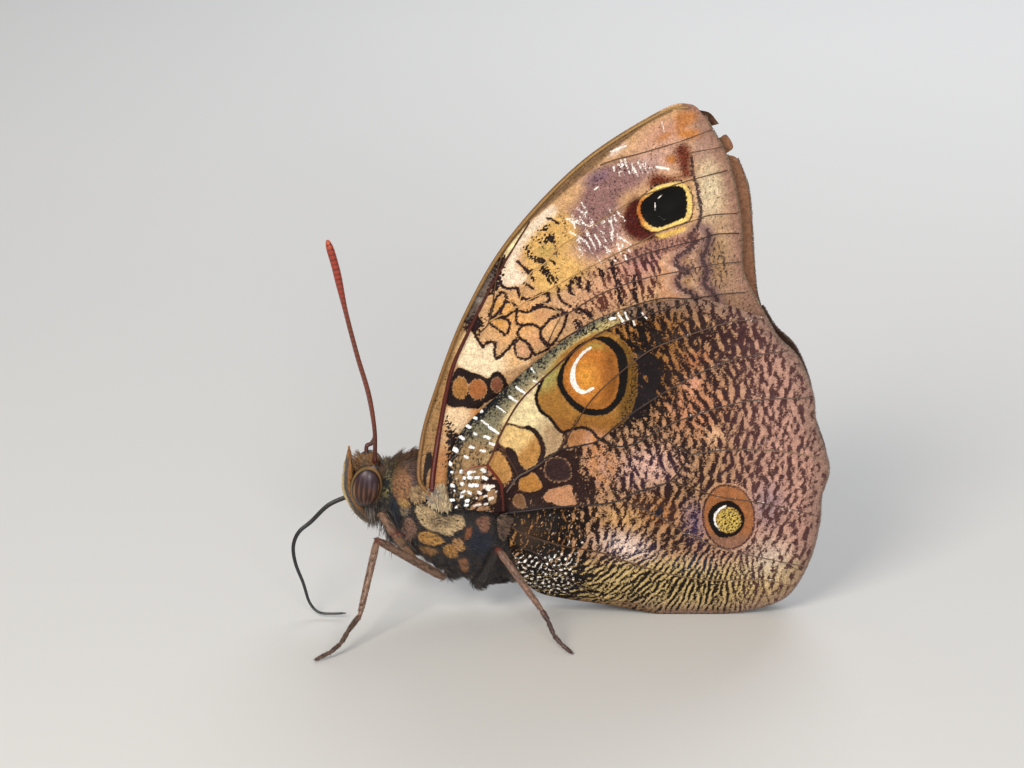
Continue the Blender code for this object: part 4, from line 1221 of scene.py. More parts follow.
HIND_VEINS = (
    # points, radii at root and tip, hex colours at root and tip
    (((-5.0, 10.7), (-5.1, 12.4), (-5.3, 13.6), (-6.5, 15.3)), (0.15, 0.14), ("#4a1c18", "#7a2c18")),
    (FRONT_VEIN, (0.1, 0.06), ("#5c2c1a", "#3a2418")),
    (((-6.5, 15.3), (-7.6, 15.3), (-8.8, 15.0)), (0.09, 0.05), ("#8a3a28", "#a06a60")),
    (((-5.4, 17.2), (-4.7, 16.1), (-4.1, 15.0), (-3.6, 14.0)), (0.07, 0.06), ("#5a3420", "#4a3424")),
    (((-4.7, 12.5), (-4.2, 13.2), (-3.6, 14.0), (-2.5, 14.6), (-1.2, 15.5), (0.2, 16.6)), (0.08, 0.08),
     ("#6a5c56", "#40302a")),
    (((0.2, 16.6), (1.6, 19.0), (2.9, 21.2), (4.9, 23.4), (8.4, 26.3), (12.0, 27.8), (15.6, 29.0),
      (18.6, 29.3)), (0.07, 0.05), ("#4a3020", "#6a5040")),
    (((0.2, 16.6), (2.1, 17.0), (3.9, 17.6), (6.6, 20.0), (11.2, 23.1), (15.7, 25.3), (21.0, 26.3)),
     (0.08, 0.06), ("#2c1e18", "#604a40")),
    (((3.9, 17.5), (5.7, 16.9), (7.6, 17.4), (9.8, 18.8), (12.1, 19.8), (17.1, 21.3), (23.3, 21.7)),
     (0.08, 0.06), ("#2a1e1a", "#6c5648")),
    (((9.1, 18.0), (10.3, 17.3), (12.2, 16.1)), (0.06, 0.06), ("#4a3828", "#4a3828")),
    (((12.2, 16.1), (14.9, 16.5), (17.7, 16.6), (21.4, 16.3), (24.8, 15.6)), (0.08, 0.06),
     ("#5a463a", "#94765c")),
    (((-5.3, 10.4), (-4.1, 10.5), (0.2, 10.9), (4.9, 11.3), (7.4, 12.4), (10.4, 13.5), (12.2, 16.0)),
     (0.11, 0.07), ("#352c2c", "#3a2a20")),
    (((10.4, 13.5), (12.3, 12.8), (15.0, 11.9), (18.8, 11.3), (24.2, 10.0)), (0.08, 0.05),
     ("#5a4028", "#6a5040")),
    (((6.4, 11.4), (9.1, 10.1), (11.9, 8.3), (15.2, 6.8), (20.3, 5.5), (23.2, 4.9)), (0.08, 0.05),
     ("#54443a", "#7c6450")),
    (((-5.0, 10.0), (-3.5, 8.8), (0.2, 7.5), (4.0, 6.4), (8.2, 4.8), (13.4, 3.6), (19.4, 3.5), (22.1, 2.9)),
     (0.09, 0.05), ("#4c3428", "#8a6c4a")),
    (((-3.5, 7.5), (-1.8, 6.8), (1.7, 3.9), (4.0, 2.0), (8.7, 0.8)), (0.08, 0.05), ("#3a2a22", "#7a5c40")),
)
hind_outline = outline_of(HIND_FRONT, HIND_EDGE, HIND_BACK, (HIND_BACK[-1], HIND_FRONT[0]))
hind = Painting(hind_outline, HIND_VEINS, "#b58a66", "#2e1c19", 100)
x, z = hind.x, hind.z
oval, within, edge_of = hind.oval, hind.within, hind.edge_of
heading = hind.heading() - math.radians(42) * ease((7.2 - z + 0.05 * x) / 2) * ease((18 - x) / 15)
blots, bars = hind.bars(1.0, heading, spread=1.0, width=0.6), hind.bars(0.68, heading, spread=0.7, width=0.6)
fine, grain = hind.bars(0.4, heading, spread=1.1), hind.bars(0.28)
slanted = hind.bars(0.5, heading, spread=0.55, width=0.45, rounds=2)
dots = hind.bars(0.5, width=0.4, rounds=3)

# Colours of the light and dark scales, and how much of the wing each has: olive and black by
# the large eyespot, pink about the cell, purplish to the edge, and straw and black below.
washes(hind.ground, (
    ("#a06c36", ease((z - 18.5) / 4) * ease((15 - x) / 6)), ("#bf9280", ease((x - 14) / 6)),
    ("#c98a66", oval(12.5, 20.5, 4.5, 5.0, -50)), ("#b8724c", 0.8 * oval(12.5, 25.3, 3.2, 1.4, 20)),
    ("#deb2a0", oval(8.2, 14.9, 5.2, 3.4, 10)), ("#cfa06c", oval(6.0, 9.8, 4.5, 2.0, -8)),
    ("#b97d4c", oval(9.6, 10.4, 2.6, 2.4, -30)), ("#cdb078", ease((6.6 - z) / 2)),
    ("#f0d4c2", oval(6.4, 6.9, 4.6, 2.2, -15)), ("#d0946a", oval(3.6, 16.3, 1.6, 2.6, -20)),
    ("#8a7080", 0.75 * oval(12.8, 9.6, 1.8, 3.4, 15)), ("#94808c", 0.7 * oval(19.5, 11.0, 2.5, 3.5)),
    ("#d3bfaa", 0.8 * oval(19.6, 5.6, 4.2, 3.6)), ("#c9a088", 0.7 * oval(14.6, 5.8, 4.0, 2.0)),
    ("#866c60", 0.8 * ease(1 - hind.inside / 2.4) * (x > 6)),
    ("#7a5c44", ease(1 - hind.inside / 0.9) * (z < 2) * (x < 16)),
    ("#e0a080", oval(12.2, 23.1, 1.5, 1.3, 30)), ("#e6b48c", oval(14.4, 18.0, 1.3, 1.4)),
))
washes(hind.dark, (
    ("#140a07", ease((12 - x) / 5) * ease((z - 17) / 3)), ("#42262a", ease((x - 11) / 8)),
    ("#3c2638", oval(8.6, 14.6, 4.5, 3.0, 10)), ("#4c2c1c", oval(8.8, 10.6, 4.2, 2.2, -20)),
    ("#35284a", 0.7 * oval(12.8, 9.0, 2.0, 3.6, 15)), ("#161c28", oval(9.2, 10.5, 2.0, 0.9, -35)),
    ("#1c1410", ease((6 - z) / 2)), ("#252c3c", 0.9 * oval(12.5, 5.2, 4.5, 1.6, -8)),
    ("#39324e", oval(6.6, 6.8, 4.2, 1.9, -15)), ("#20283a", 0.9 * oval(18.8, 4.4, 2.2, 1.0)),
    ("#563836", 0.85 * ease((x - 14) / 6)),
))
low_part = ease((6.6 - z + 0.08 * x) / 2.0) * ease((21 - x) / 3)
crisper = 1 + 0.35 * ease((x - 12) / 5)
hind.cover = 0.56 + (1 - low_part) * (0.15 * blots + 0.11 * bars) * crisper
hind.cover += low_part * (0.18 * slanted + 0.06 * blots)
hind.cover += 0.07 * fine + 0.07 * grain + 0.05 * hind.uneven(2.4)
for amount, share in (
    (0.07, ease((z - 19) / 4) * ease((14 - x) / 5)), (0.06, oval(7.5, 28.0, 4.5, 2.0, 25)),
    (-0.05, oval(8.0, 15.0, 4.6, 3.0, 10)), (-0.16, oval(5.6, 9.6, 3.2, 1.7, -8)),
    (-0.16, oval(7.2, 6.8, 4.6, 2.2, -15)), (-0.14, oval(19.6, 5.6, 3.4, 3.6)),
    (-0.06, oval(3.6, 15.8, 1.6, 2.8, -10)), (-0.1, ease((x - 17) / 5)), (0.1, oval(10.2, 12.2, 2.6, 1.5)),
    (-0.3, oval(12.3, 23.0, 1.4, 1.2, 30)), (-0.35, oval(14.4, 18.0, 1.3, 1.4)),
    (-0.15, ease(1 - hind.inside / 1.4)), (0.14, oval(9.3, 10.4, 2.0, 1.0, -35)),
    (0.2, oval(2.9, 12.4, 1.7, 1.6)), (0.24, oval(16.0, 27.0, 5.5, 3.0, -10)),
):
    hind.cover += amount * share

# Lower root: brown-black with specks, orange above and white in rows below, which draw out
# into slanting dashes away from the body.
root_dark = ease((3.2 + 0.7 * blots - x) / 1.6) * ease((10.9 - z) / 0.4)
hind.cover += root_dark * (0.46 + 0.1 * fine - hind.cover * 0.35)
wash(hind.ground, "#b07c48", root_dark * ease((z - 6.5) / 1.0))
wash(hind.dark, "#150d0a", root_dark)
wash(hind.dark, "#4a3626", 0.6 * root_dark * oval(-2.6, 8.6, 2.4, 2.0))
specks = root_dark * ease((z - 6.4) / 0.8) * ease((x + 3.0) / 1.5) * ease(0.8 + 0.7 * blots)
hind.shine = specks * np.clip(0.5 + 0.14 * dots + 0.1 * fine - 0.24, 0, 1)
rows = ease((7.4 - z) / 1.0) * ease((3.6 - x) / 2.8) * ease((z - 1.6) / 1.6)
hind.shine = np.maximum(hind.shine, rows ** 0.5 * np.clip(0.5 + 0.06 * slanted + 0.16 * dots - 0.17, 0, 1))
wash(hind.pearl, "#dca468", ease((z - 7.0) / 0.8) * ease(0.9 + hind.uneven(0.6)) * (x < 5) * (z < 11))

# Front band between the edge and the first long vein: grey-olive, black along the edge by the
# shoulder, with ribs of shining white scales. Painted highlights in white lie on it too: short
# strokes by the edge above the large eyespot, and rows of dots where the shoulder's lobe bulges.
front_line = smooth_line(FRONT_VEIN, 0.4)
band = to_edge(x, z, np.vstack([smooth_line(HIND_FRONT[:-1], 0.4), front_line[::-1]]))
in_band = ease(0.5 - band / 0.3) * ease((7.5 - x + 0.6 * bars) / 4.0)
behind = to_line(x, z, front_line)
from_edge = hind.inside
for layer, code, share in (
    (hind.ground, "#837c62", 1.0), (hind.ground, "#a08058", ease((18.5 - z) / 2.0)),
    (hind.ground, "#c2a878", 0.8 * ease(1 - behind / 1.0)),
    (hind.ground, "#cdb674", ease((x + 2.0) / 3) * ease(1.2 - behind / 0.9)),
    (hind.ground, "#7b8490", ease((x - 0.5) / 3) * ease((behind - 0.9) / 0.6)), (hind.dark, "#2c2a26", 1.0),
    (hind.dark, "#11121a", ease((x + 1) / 6) + ease(1 - from_edge / 1.2)),
):
    wash(layer, code, in_band * share)
stipple = 0.33 + 0.12 * grain + 0.08 * dots + 0.08 * hind.uneven(0.8)
stipple += 0.36 * ease(1.1 - from_edge / 1.3) * ease((23.5 - z) / 3)
stipple += 0.1 * ease((15.0 - z) / 2) * ease((-6.5 - x) / 1.0) + 0.2 * oval(7.5, 29.8, 4.0, 1.2, 15)
stipple += 0.2 * ease(1.1 - from_edge / 1.0) * ease((z - 19) / 2) * ease((6 - x) / 2)
hind.settle(in_band, np.clip(stipple, 0, 1))
hind.shine *= 1 - in_band
# Of these white strokes, the five by the edge above the large eyespot, near z 29, are painted highlights; the
# rest are ribs of white scales.
hind.dashes((
    (-5.2, 20.5, 1.0, -38, 0.05), (-4.1, 21.5, 0.9, -35, 0.07), (-3.3, 22.3, 1.3, -36, 0.07),
    (-5.6, 22.2, 0.4, -30, 0.1), (-2.3, 24.3, 0.5, -60, 0.06), (-2.0, 23.2, 0.6, -30, 0.06),
    (-6.7, 19.2, 0.8, -38, 0.06), (-5.9, 18.5, 0.9, -36, 0.09), (-7.1, 20.4, 0.35, -40, 0.1),
    (-8.2, 18.9, 0.3, -40, 0.1), (-8.8, 17.9, 0.3, -40, 0.1), (-9.4, 16.9, 0.3, -40, 0.12),
    (-9.9, 15.8, 0.25, -40, 0.1), (-7.6, 19.7, 0.3, -30, 0.09), (-6.5, 17.8, 0.5, -20, 0.08),
    (-6.0, 17.2, 0.5, -15, 0.08), (-7.6, 18.2, 0.3, -40, 0.07), (-4.6, 23.3, 0.4, -40, 0.09),
    (-3.4, 24.4, 0.4, -30, 0.08), (4.9, 29.3, 0.5, 10, 0.07), (5.7, 29.35, 1.0, -58, 0.07),
    (6.2, 29.5, 0.8, -65, 0.06), (6.9, 28.9, 0.5, -75, 0.06), (7.8, 29.6, 0.7, -50, 0.05),
    (-7.9, 17.0, 0.35, -20, 0.08), (-8.4, 16.2, 0.3, -20, 0.08), (-6.9, 16.6, 0.4, -10, 0.07),
), wider=1.5)
# Rows of white dots where the shoulder's lobe bulges: painted highlights, where the bulge faces the light.
draw = np.random.default_rng(5)
for row in range(7):
    for place in range(6):
        u = -9.6 + 0.72 * place + 0.3 * (row % 2) + draw.normal(scale=0.14)
        w = 15.2 - 0.6 * row - 0.1 * place + draw.normal(scale=0.11)
        if -9.9 < u < -5.9 + 0.12 * row and w > 11.3 + 0.25 * abs(u + 7.7):
            hind.dashes(((u, w, draw.uniform(0.0, 0.35), draw.uniform(-40, 20), draw.uniform(0.08, 0.17)),))
wash(hind.pearl, "#ffffff", in_band)

# Marks about the cell: cream, orange and olive fields parted by black lines with soft edges.
OLIVE_FIELD = (
    (-1.4, 23.5), (-1.8, 22.4), (-2.0, 21.6), (-1.6, 20.4), (-0.7, 19.6), (0.1, 18.5), (0.6, 18.2),
    (1.3, 18.6), (2.8, 18.6), (3.7, 17.7), (5.0, 18.4), (6.3, 19.5), (7.2, 21.5), (7.3, 23.6), (6.9, 25.6),
    (5.8, 27.3), (4.2, 28.1), (2.4, 27.5), (0.2, 25.8),
)
CREAM_FIELD = (
    (-5.0, 19.5), (-3.4, 21.6), (-1.2, 23.8), (-1.8, 21.2), (-0.4, 19.2), (0.4, 17.8), (0.0, 16.6),
    (-1.4, 15.6), (-1.5, 17.2), (-2.6, 18.6), (-4.4, 19.1),
)
LOBE_FIELD = (
    (-4.6, 19.1), (-3.5, 18.7), (-2.3, 18.5), (-1.5, 17.3), (-1.3, 16.6), (-1.6, 15.6), (-2.5, 14.8),
    (-3.1, 14.8), (-3.6, 15.4), (-4.0, 16.1), (-4.8, 16.7), (-5.3, 17.2), (-5.3, 18.0),
)
SMALL_LOBE = ((1.0, 17.0), (1.4, 18.5), (2.8, 18.5), (3.8, 17.5), (2.4, 17.2))
PINK_PATCH = (
    (2.6, 17.9), (3.3, 18.4), (4.3, 18.1), (3.9, 17.1), (4.5, 16.5), (5.6, 15.4), (5.0, 13.0), (3.6, 12.4),
    (3.0, 13.8), (2.6, 15.6),
)
ORANGE_CELL = (
    (-5.6, 16.5), (-5.0, 16.4), (-4.6, 15.8), (-4.3, 15.0), (-4.1, 14.2), (-4.4, 13.6), (-4.8, 13.4),
    (-5.3, 13.6), (-5.8, 14.2), (-6.1, 15.0), (-6.4, 15.7), (-6.2, 16.2),
)
BLACK_WEDGE = (
    (-4.8, 16.7), (-4.2, 16.6), (-3.8, 16.1), (-3.6, 15.4), (-3.1, 14.6), (-2.4, 14.4), (-2.9, 14.0),
    (-3.6, 13.9), (-4.1, 14.4), (-4.4, 15.4),
)
BASE_DARK = (
    (-6.6, 14.2), (-5.9, 13.9), (-5.1, 13.2), (-4.2, 13.5), (-3.6, 13.9), (-2.9, 14.0), (-1.6, 15.5),
    (-0.1, 16.4), (1.4, 16.3), (2.0, 15.4), (2.9, 14.0), (3.2, 12.6), (2.4, 10.9), (0.2, 10.8),
    (-4.4, 10.5), (-5.3, 10.4), (-6.6, 11.9),
)
SPOTS = (
    # outline, hex colour
    (ORANGE_CELL, "#bd8a4e"),
    (((-6.4, 13.0), (-5.9, 13.1), (-5.6, 12.7), (-5.7, 11.7), (-6.1, 11.6), (-6.5, 12.4)), "#a9825c"),
    (((-3.1, 14.1), (-2.5, 14.4), (-2.1, 14.2), (-1.6, 13.5), (-1.4, 12.8), (-2.1, 12.4), (-2.8, 12.3),
      (-3.5, 12.6), (-3.6, 13.1), (-3.5, 13.6)), "#b9803f"),
    (((-1.3, 11.8), (-0.8, 12.5), (0.1, 12.8), (1.3, 13.0), (1.4, 12.2), (1.8, 11.2), (1.2, 11.0),
      (0.2, 11.0), (-0.5, 11.3), (-1.1, 11.4)), "#c08a64"),
    (((-4.2, 11.4), (-3.7, 12.2), (-3.1, 11.9), (-2.9, 10.9), (-3.6, 10.8)), "#7a5638"),
)
BROWN_DISC = (
    (-1.1, 15.1), (-0.8, 15.6), (-0.1, 15.8), (0.7, 15.6), (1.1, 15.0), (1.3, 14.3), (1.1, 13.6),
    (0.4, 13.4), (-0.4, 13.4), (-1.0, 13.8), (-1.2, 14.5),
)
DARK_CRESCENT = (
    (6.9, 25.2), (7.3, 26.0), (8.0, 26.2), (8.9, 25.6), (9.3, 24.4), (9.3, 22.9), (8.9, 21.6), (8.0, 20.4),
    (7.0, 19.4), (5.9, 18.8), (5.0, 18.5), (5.7, 19.6), (6.5, 20.9), (7.0, 22.5), (7.2, 23.8),
)
olive, cream = within(OLIVE_FIELD), within(CREAM_FIELD, 0.4)
lobe, small_lobe = within(LOBE_FIELD), within(SMALL_LOBE)
pink = within(PINK_PATCH, 1.4) * 0.7
washes(hind.ground, (
    ("#ecd6a4", cream), ("#b0916c", cream * ease((x + 2.4) / 1.6) * ease((20.4 - z) / 2.0)),
    ("#a07032", olive), ("#a59a58", olive * oval(-0.9, 23.6, 1.6, 2.8, -40)),
    ("#93612b", olive * ease((20.6 - z) / 1.8)), ("#75521f", olive * ease((x - 5.2) / 0.8)),
    ("#e2bd7e", lobe), ("#b88548", lobe * ease((x - 0.9 * (z - 17) + 3.6) / 1.4)), ("#aa7448", small_lobe),
    ("#c98c5c", pink), ("#c7977e", pink * ease(0.5 + hind.uneven(0.9))),
    *((code, within(outline)) for outline, code in SPOTS), ("#3b2829", within(BROWN_DISC)),
))
plain = np.max([cream, olive, lobe, small_lobe, pink * 0.5], axis=0)
hind.settle(plain, 0.16 + 0.07 * grain)
base = within(BASE_DARK, 0.3 + 1.3 * ease((x - 1.0) / 1.0))
hind.cover += base * (0.5 - 0.3 * ease((x - 1.2) / 1.0) + 0.06 * grain)
for outline, _ in SPOTS:
    hind.clear(edge_of(outline))
on_disc = edge_of(BROWN_DISC)
hind.cover = np.where(on_disc < 0.1, 0.4 + 0.16 * grain, hind.cover)
hind.darken(edge_of(BLACK_WEDGE) - 0.06)
OLIVE_LINE = (
    (-1.4, 23.5), (-1.6, 23.0), *OLIVE_FIELD[1:7], (0.9, 18.4), (1.3, 18.6), (2.0, 18.7), (2.8, 18.6),
    (3.3, 18.2), (3.7, 17.7), (4.0, 17.6),
)
for line, half in (
    (OLIVE_LINE, 0.16),
    (((2.0, 20.0), (1.6, 19.3), (1.3, 18.6), (0.8, 17.9), (0.4, 17.2), (0.0, 16.5)), 0.05),
    ((*LOBE_FIELD[:1], (-4.1, 19.0), (-3.5, 18.7), (-2.8, 18.7)), 0.1),
    (((-2.8, 18.7), (-2.3, 18.5), (-1.8, 17.9), (-1.5, 17.3), (-1.3, 16.6), (-1.4, 16.0), (-1.6, 15.6)),
     0.24),
    (((-6.2, 16.4), (-5.4, 16.6), (-4.6, 15.6), (-4.1, 14.2), (-4.3, 13.4)), 0.12),
    (((0.4, 15.8), (1.1, 15.7), (2.1, 15.6), (3.0, 15.7), (3.7, 15.9)), 0.07),
):
    hind.darken(hind.near(line) - half)
crescent = within(DARK_CRESCENT, 1.4, grow=0.1)
hind.cover += 0.36 * crescent
wash(hind.dark, "#1d1518", crescent)
speckled = (olive > 0.5) & (x > 5.9)
hind.cover = np.where(speckled, np.clip(0.42 + 0.16 * grain + 0.06 * fine, 0, 1), hind.cover)

# The large eyespot: a black ring, an orange disc that darkens away from its white crescent.
BIG_RING = (
    (3.9, 27.6), (4.7, 27.5), (5.4, 27.0), (6.0, 26.2), (6.3, 25.3), (6.4, 24.2), (6.3, 23.0), (6.1, 21.9),
    (5.5, 20.9), (4.8, 20.2), (4.0, 19.9), (3.0, 19.9), (2.1, 20.2), (1.3, 20.8), (0.6, 21.6), (0.1, 22.5),
    (-0.1, 23.3), (0.1, 24.2), (0.5, 25.1), (0.9, 25.9), (1.5, 26.5), (2.3, 27.1), (3.1, 27.4),
)
BIG_DISC = (
    (3.3, 27.3), (4.1, 27.0), (4.8, 26.4), (5.3, 25.7), (5.5, 24.7), (5.6, 23.6), (5.5, 22.5), (5.2, 21.5),
    (4.6, 20.8), (3.9, 20.5), (2.9, 20.6), (2.0, 21.0), (1.3, 21.6), (0.7, 22.4), (0.5, 23.1), (0.5, 23.9),
    (0.7, 24.8), (1.2, 25.7), (1.8, 26.4), (2.5, 27.0),
)
BIG_GLEAM = (
    (2.95, 26.5), (2.3, 26.0), (1.7, 25.2), (1.4, 24.4), (1.35, 23.5), (1.6, 22.7), (2.1, 22.2),
    (2.6, 22.2), (3.2, 22.55),
)
ring, on_disc = edge_of(BIG_RING), edge_of(BIG_DISC)
disc = ease(0.5 - on_disc / 0.3)
washes(hind.ground, (
    ("#bc7430", disc), ("#dc963c", disc * oval(2.5, 23.6, 1.9, 2.6, 10)),
    ("#84501f", 0.9 * disc * ease((x - 3.5) / 1.5)), ("#96622c", 0.8 * disc * ease((21.7 - z) / 1.0)),
    ("#a98a40", disc * ease((z - 26.0) / 0.8)), ("#a8672a", disc * ease(1 + on_disc / 0.5)),
))
hind.cover = np.where(ring < 0.3, np.minimum(ink(ring), ink(-on_disc)), hind.cover)
gleam = 0.13 + 0.13 * ease(1 - np.abs(z - 23.2) / 2.2) * (x < 2.4)
hind.shine = np.maximum(hind.shine, ink(hind.near(BIG_GLEAM) - gleam))
wash(hind.dark, "#120d0b", ease(1 - ring / 0.5))

# The small eyespot: an orange-brown band, a black ring, and yellow stipple behind a crescent.
SMALL_FIELD = (
    (14.9, 12.9), (15.9, 13.0), (17.0, 12.6), (17.7, 11.8), (18.2, 10.7), (18.3, 9.4), (18.1, 8.2),
    (17.4, 7.2), (16.4, 6.7), (15.3, 6.8), (14.4, 7.5), (13.8, 8.5), (13.5, 9.7), (13.6, 11.0),
    (14.1, 12.2),
)
SMALL_RING = (
    (15.6, 11.5), (16.4, 11.3), (17.0, 10.7), (17.4, 9.8), (17.3, 8.9), (16.8, 8.1), (16.0, 7.8),
    (15.1, 7.8), (14.5, 8.4), (14.1, 9.2), (14.0, 10.0), (14.3, 10.8), (15.0, 11.3),
)
SMALL_DISC = (
    (15.9, 10.8), (16.6, 10.5), (17.0, 9.8), (17.0, 9.0), (16.5, 8.4), (15.9, 8.2), (15.2, 8.5),
    (14.8, 9.1), (14.8, 9.8), (15.2, 10.5),
)
SMALL_GLEAM = (
    (15.7, 11.0), (15.1, 10.8), (14.6, 10.2), (14.5, 9.7), (14.6, 9.1), (14.9, 8.7), (15.2, 8.3),
    (15.0, 8.8), (14.7, 9.3), (14.7, 9.7), (14.9, 10.2), (15.2, 10.6), (15.6, 10.8),
)
field, ring, on_disc = edge_of(SMALL_FIELD), edge_of(SMALL_RING), edge_of(SMALL_DISC)
washes(hind.ground, (
    ("#a0663e", ease(0.5 - field / 0.3)), ("#8f6650", ease(0.5 - field / 0.3) * ease((8.6 - z) / 1.2)),
    ("#d4b45c", ease(0.5 - on_disc / 0.2)),
))
rim = 0.92 * ink(np.abs(field + 0.02) - 0.1)
hind.cover = np.where(field < 0.25, np.maximum(ink(ring), rim), hind.cover)
hind.cover = np.where(on_disc < 0.1, 0.44 + 0.16 * grain + 0.05 * fine, hind.cover)
wash(hind.dark, "#150e0c", ease(1 - ring / 0.4))
hind.shine = np.where(field < 0.2, ink(edge_of(SMALL_GLEAM)), hind.shine)

# Stray pale scales along the veins of the outer part, then the relief: veins stand up,
# the sheet sags between them and creases run to the edge.
along_veins = ease(1 - hind.vein_near / 0.45) * ease((x - 8) / 4)
hind.shine = np.maximum(hind.shine, along_veins * np.clip(0.2 + 0.2 * dots + 0.1 * fine, 0, 1))
HIND_CREASES = (
    ((15.9, 22.9), (18.8, 22.2), (21.9, 21.0)), ((14.9, 18.4), (19.0, 17.5), (22.6, 17.0)),
    ((12.3, 5.9), (15.0, 5.6), (20.0, 6.3)), ((13.5, 27.0), (18.5, 27.0)),
    ((14.2, 14.2), (18.0, 14.0), (23.0, 13.2)),
)
crease = np.min([hind.near(line) for line in HIND_CREASES], axis=0)
hind_relief = 0.07 * np.exp(-(hind.vein_near / 0.28) ** 2) + 0.08 * np.exp(-hind.vein_near ** 2)
sunk = 0.11 * np.exp(-(crease / 0.35) ** 2)
hind_relief += 0.03 * hind.uneven(1.5) + 0.012 * hind.uneven(0.5) - sunk - 0.08


def hind_upper(px, pz):
    """Dark brown with an orange band inside the outer edge."""
    away = np.abs(to_edge(px, pz, hind_outline))
    found = colours("#3a2418", len(px))
    wash(found, "#a8622a", ease(1 - np.abs(away - 2.4) / 1.2) * ease((px - 10) / 5))
    return plain_face(found)


for sign, label in ((-1, "left"), (1, "right")):
    wing_sheet(f"{label}_hindwing", sign, hind_side, hind_outline, hind, hind_relief, hind_upper, 0.0,
               f"hindwing_{label}")
    vein_tubes(f"{label}_hindwing_veins", sign, hind_side, HIND_VEINS, 0.0, hind_outline)
    fringe(f"{label}_hindwing_fringe", sign, hind_side, HIND_EDGE, 0.0, 0.34, ("#a5897a", "#6f5446"),
           40 + sign)

# Forewings: long triangles with a bent tip, cream and orange near the root, purple-brown
# beyond, and one black eyespot in a yellow ring near the tip. The far one's edge is worn.
FORE_FRONT = (
    (-11.6, 12.7), (-12.9, 14.2), (-12.6, 17.6), (-11.6, 21.2), (-8.8, 28.9), (-4.6, 36.5), (1.9, 43.7),
    (9.0, 48.5), (11.7, 49.1), (13.0, 48.0),
)
FORE_EDGE = (
    (13.0, 48.0), (15.2, 43.7), (16.4, 38.2), (16.7, 33.6), (18.1, 30.5), (19.8, 27.1), (19.2, 25.2),
)
FORE_WORN = (
    (13.5, 46.6), (14.3, 45.6), (15.0, 46.0), (15.7, 44.8), (15.0, 44.1), (16.1, 43.7), (17.1, 41.0),
    (17.5, 37.5), (17.9, 32.7), (18.4, 30.0), (19.9, 26.9), (19.8, 24.4),
)
FORE_BACK = ((8.0, 20.2), (-2.0, 15.2), (-8.0, 13.0), (-10.6, 12.6))
THICK_VEIN = (
    (-11.6, 13.2), (-11.4, 15.1), (-10.7, 19.3), (-9.7, 24.0), (-8.3, 27.4), (-6.7, 30.8), (-5.0, 34.1),
    (-2.6, 38.2),
)
FORE_VEINS = (
    (((-11.7, 12.9), (-12.75, 14.3), (-12.45, 17.6), (-11.45, 21.2), (-8.65, 28.9), (-4.45, 36.4),
      (2.0, 43.55), (9.0, 48.3), (11.5, 48.9)), (0.2, 0.1), ("#8a6238", "#a8834c")),
    (THICK_VEIN, (0.27, 0.07), ("#5c1c14", "#4c2418")),
    (((-7.3, 27.4), (-6.2, 29.0), (-5.3, 34.4), (-3.5, 37.3), (-0.8, 40.3), (2.3, 43.3), (4.6, 45.1),
      (7.7, 47.3), (10.1, 48.6)), (0.06, 0.06), ("#5a3c24", "#8a6840")),
    (((3.7, 43.5), (5.0, 44.0), (7.3, 44.6), (10.8, 45.7), (13.9, 46.9)), (0.07, 0.05),
     ("#6a4a34", "#6a4c38")),
    (((-3.5, 30.8), (-2.6, 33.2), (-1.2, 34.3), (0.1, 35.8), (2.8, 37.6), (6.0, 39.8), (8.2, 40.9),
      (11.8, 42.1), (15.1, 43.0)), (0.06, 0.05), ("#d0a468", "#4c3024")),
    (((-6.3, 28.7), (-3.9, 30.0), (-2.6, 30.8), (-1.2, 31.5), (1.1, 32.9), (3.8, 34.4), (7.4, 36.3),
      (9.2, 37.3), (11.9, 38.2), (13.6, 38.8), (16.1, 39.0)), (0.06, 0.05), ("#c09458", "#4c3424")),
    (((0.2, 29.3), (1.1, 29.6), (3.8, 31.3), (7.4, 32.7), (11.0, 33.5), (13.7, 34.1), (16.4, 34.4)),
     (0.07, 0.05), ("#5a3c28", "#5c443c")),
    (((0.0, 26.7), (3.8, 29.0), (8.8, 30.8), (12.0, 30.9), (14.7, 31.3), (17.0, 31.5)), (0.07, 0.05),
     ("#5a4030", "#4c3c34")),
    (((11.5, 44.6), (13.0, 44.9), (14.7, 45.2)), (0.05, 0.04), ("#5c4028", "#5c4028")),
    (((4.5, 33.8), (7.5, 35.0), (10.4, 35.9), (12.4, 36.4), (14.2, 37.0), (16.3, 37.1)), (0.05, 0.05),
     ("#503434", "#2c1e1e")),
    (((-1.6, 30.5), (-0.8, 30.3), (0.2, 29.3), (-0.4, 27.9), (-1.0, 26.4)), (0.06, 0.07),
     ("#b89468", "#4c3220")),
)
worn = [tuple(point) for point in turned(FORE_WORN, -FAR_WING_TURN)]
fore_outline, worn_outline = (
    outline_of(FORE_FRONT, margin, (margin[-1], *FORE_BACK), (FORE_BACK[-1], FORE_FRONT[0]))
    for margin in (FORE_EDGE, (FORE_FRONT[-1], *worn))
)
fore = Painting(np.vstack([fore_outline, worn_outline]), FORE_VEINS[1:], "#cfa274", "#4a2c26", 200)
fore.inside = -to_edge(fore.x, fore.z, fore_outline)
x, z = fore.x, fore.z
oval, within, edge_of = fore.oval, fore.within, fore.edge_of
heading = fore.heading()
blots, bars = fore.bars(1.2, heading, spread=0.9, width=0.6), fore.bars(0.75, heading, spread=0.6)
fine, grain = fore.bars(0.42, heading, spread=0.9), fore.bars(0.3)
streaks = fore.bars(0.55, heading, spread=0.45, width=0.4, rounds=2)

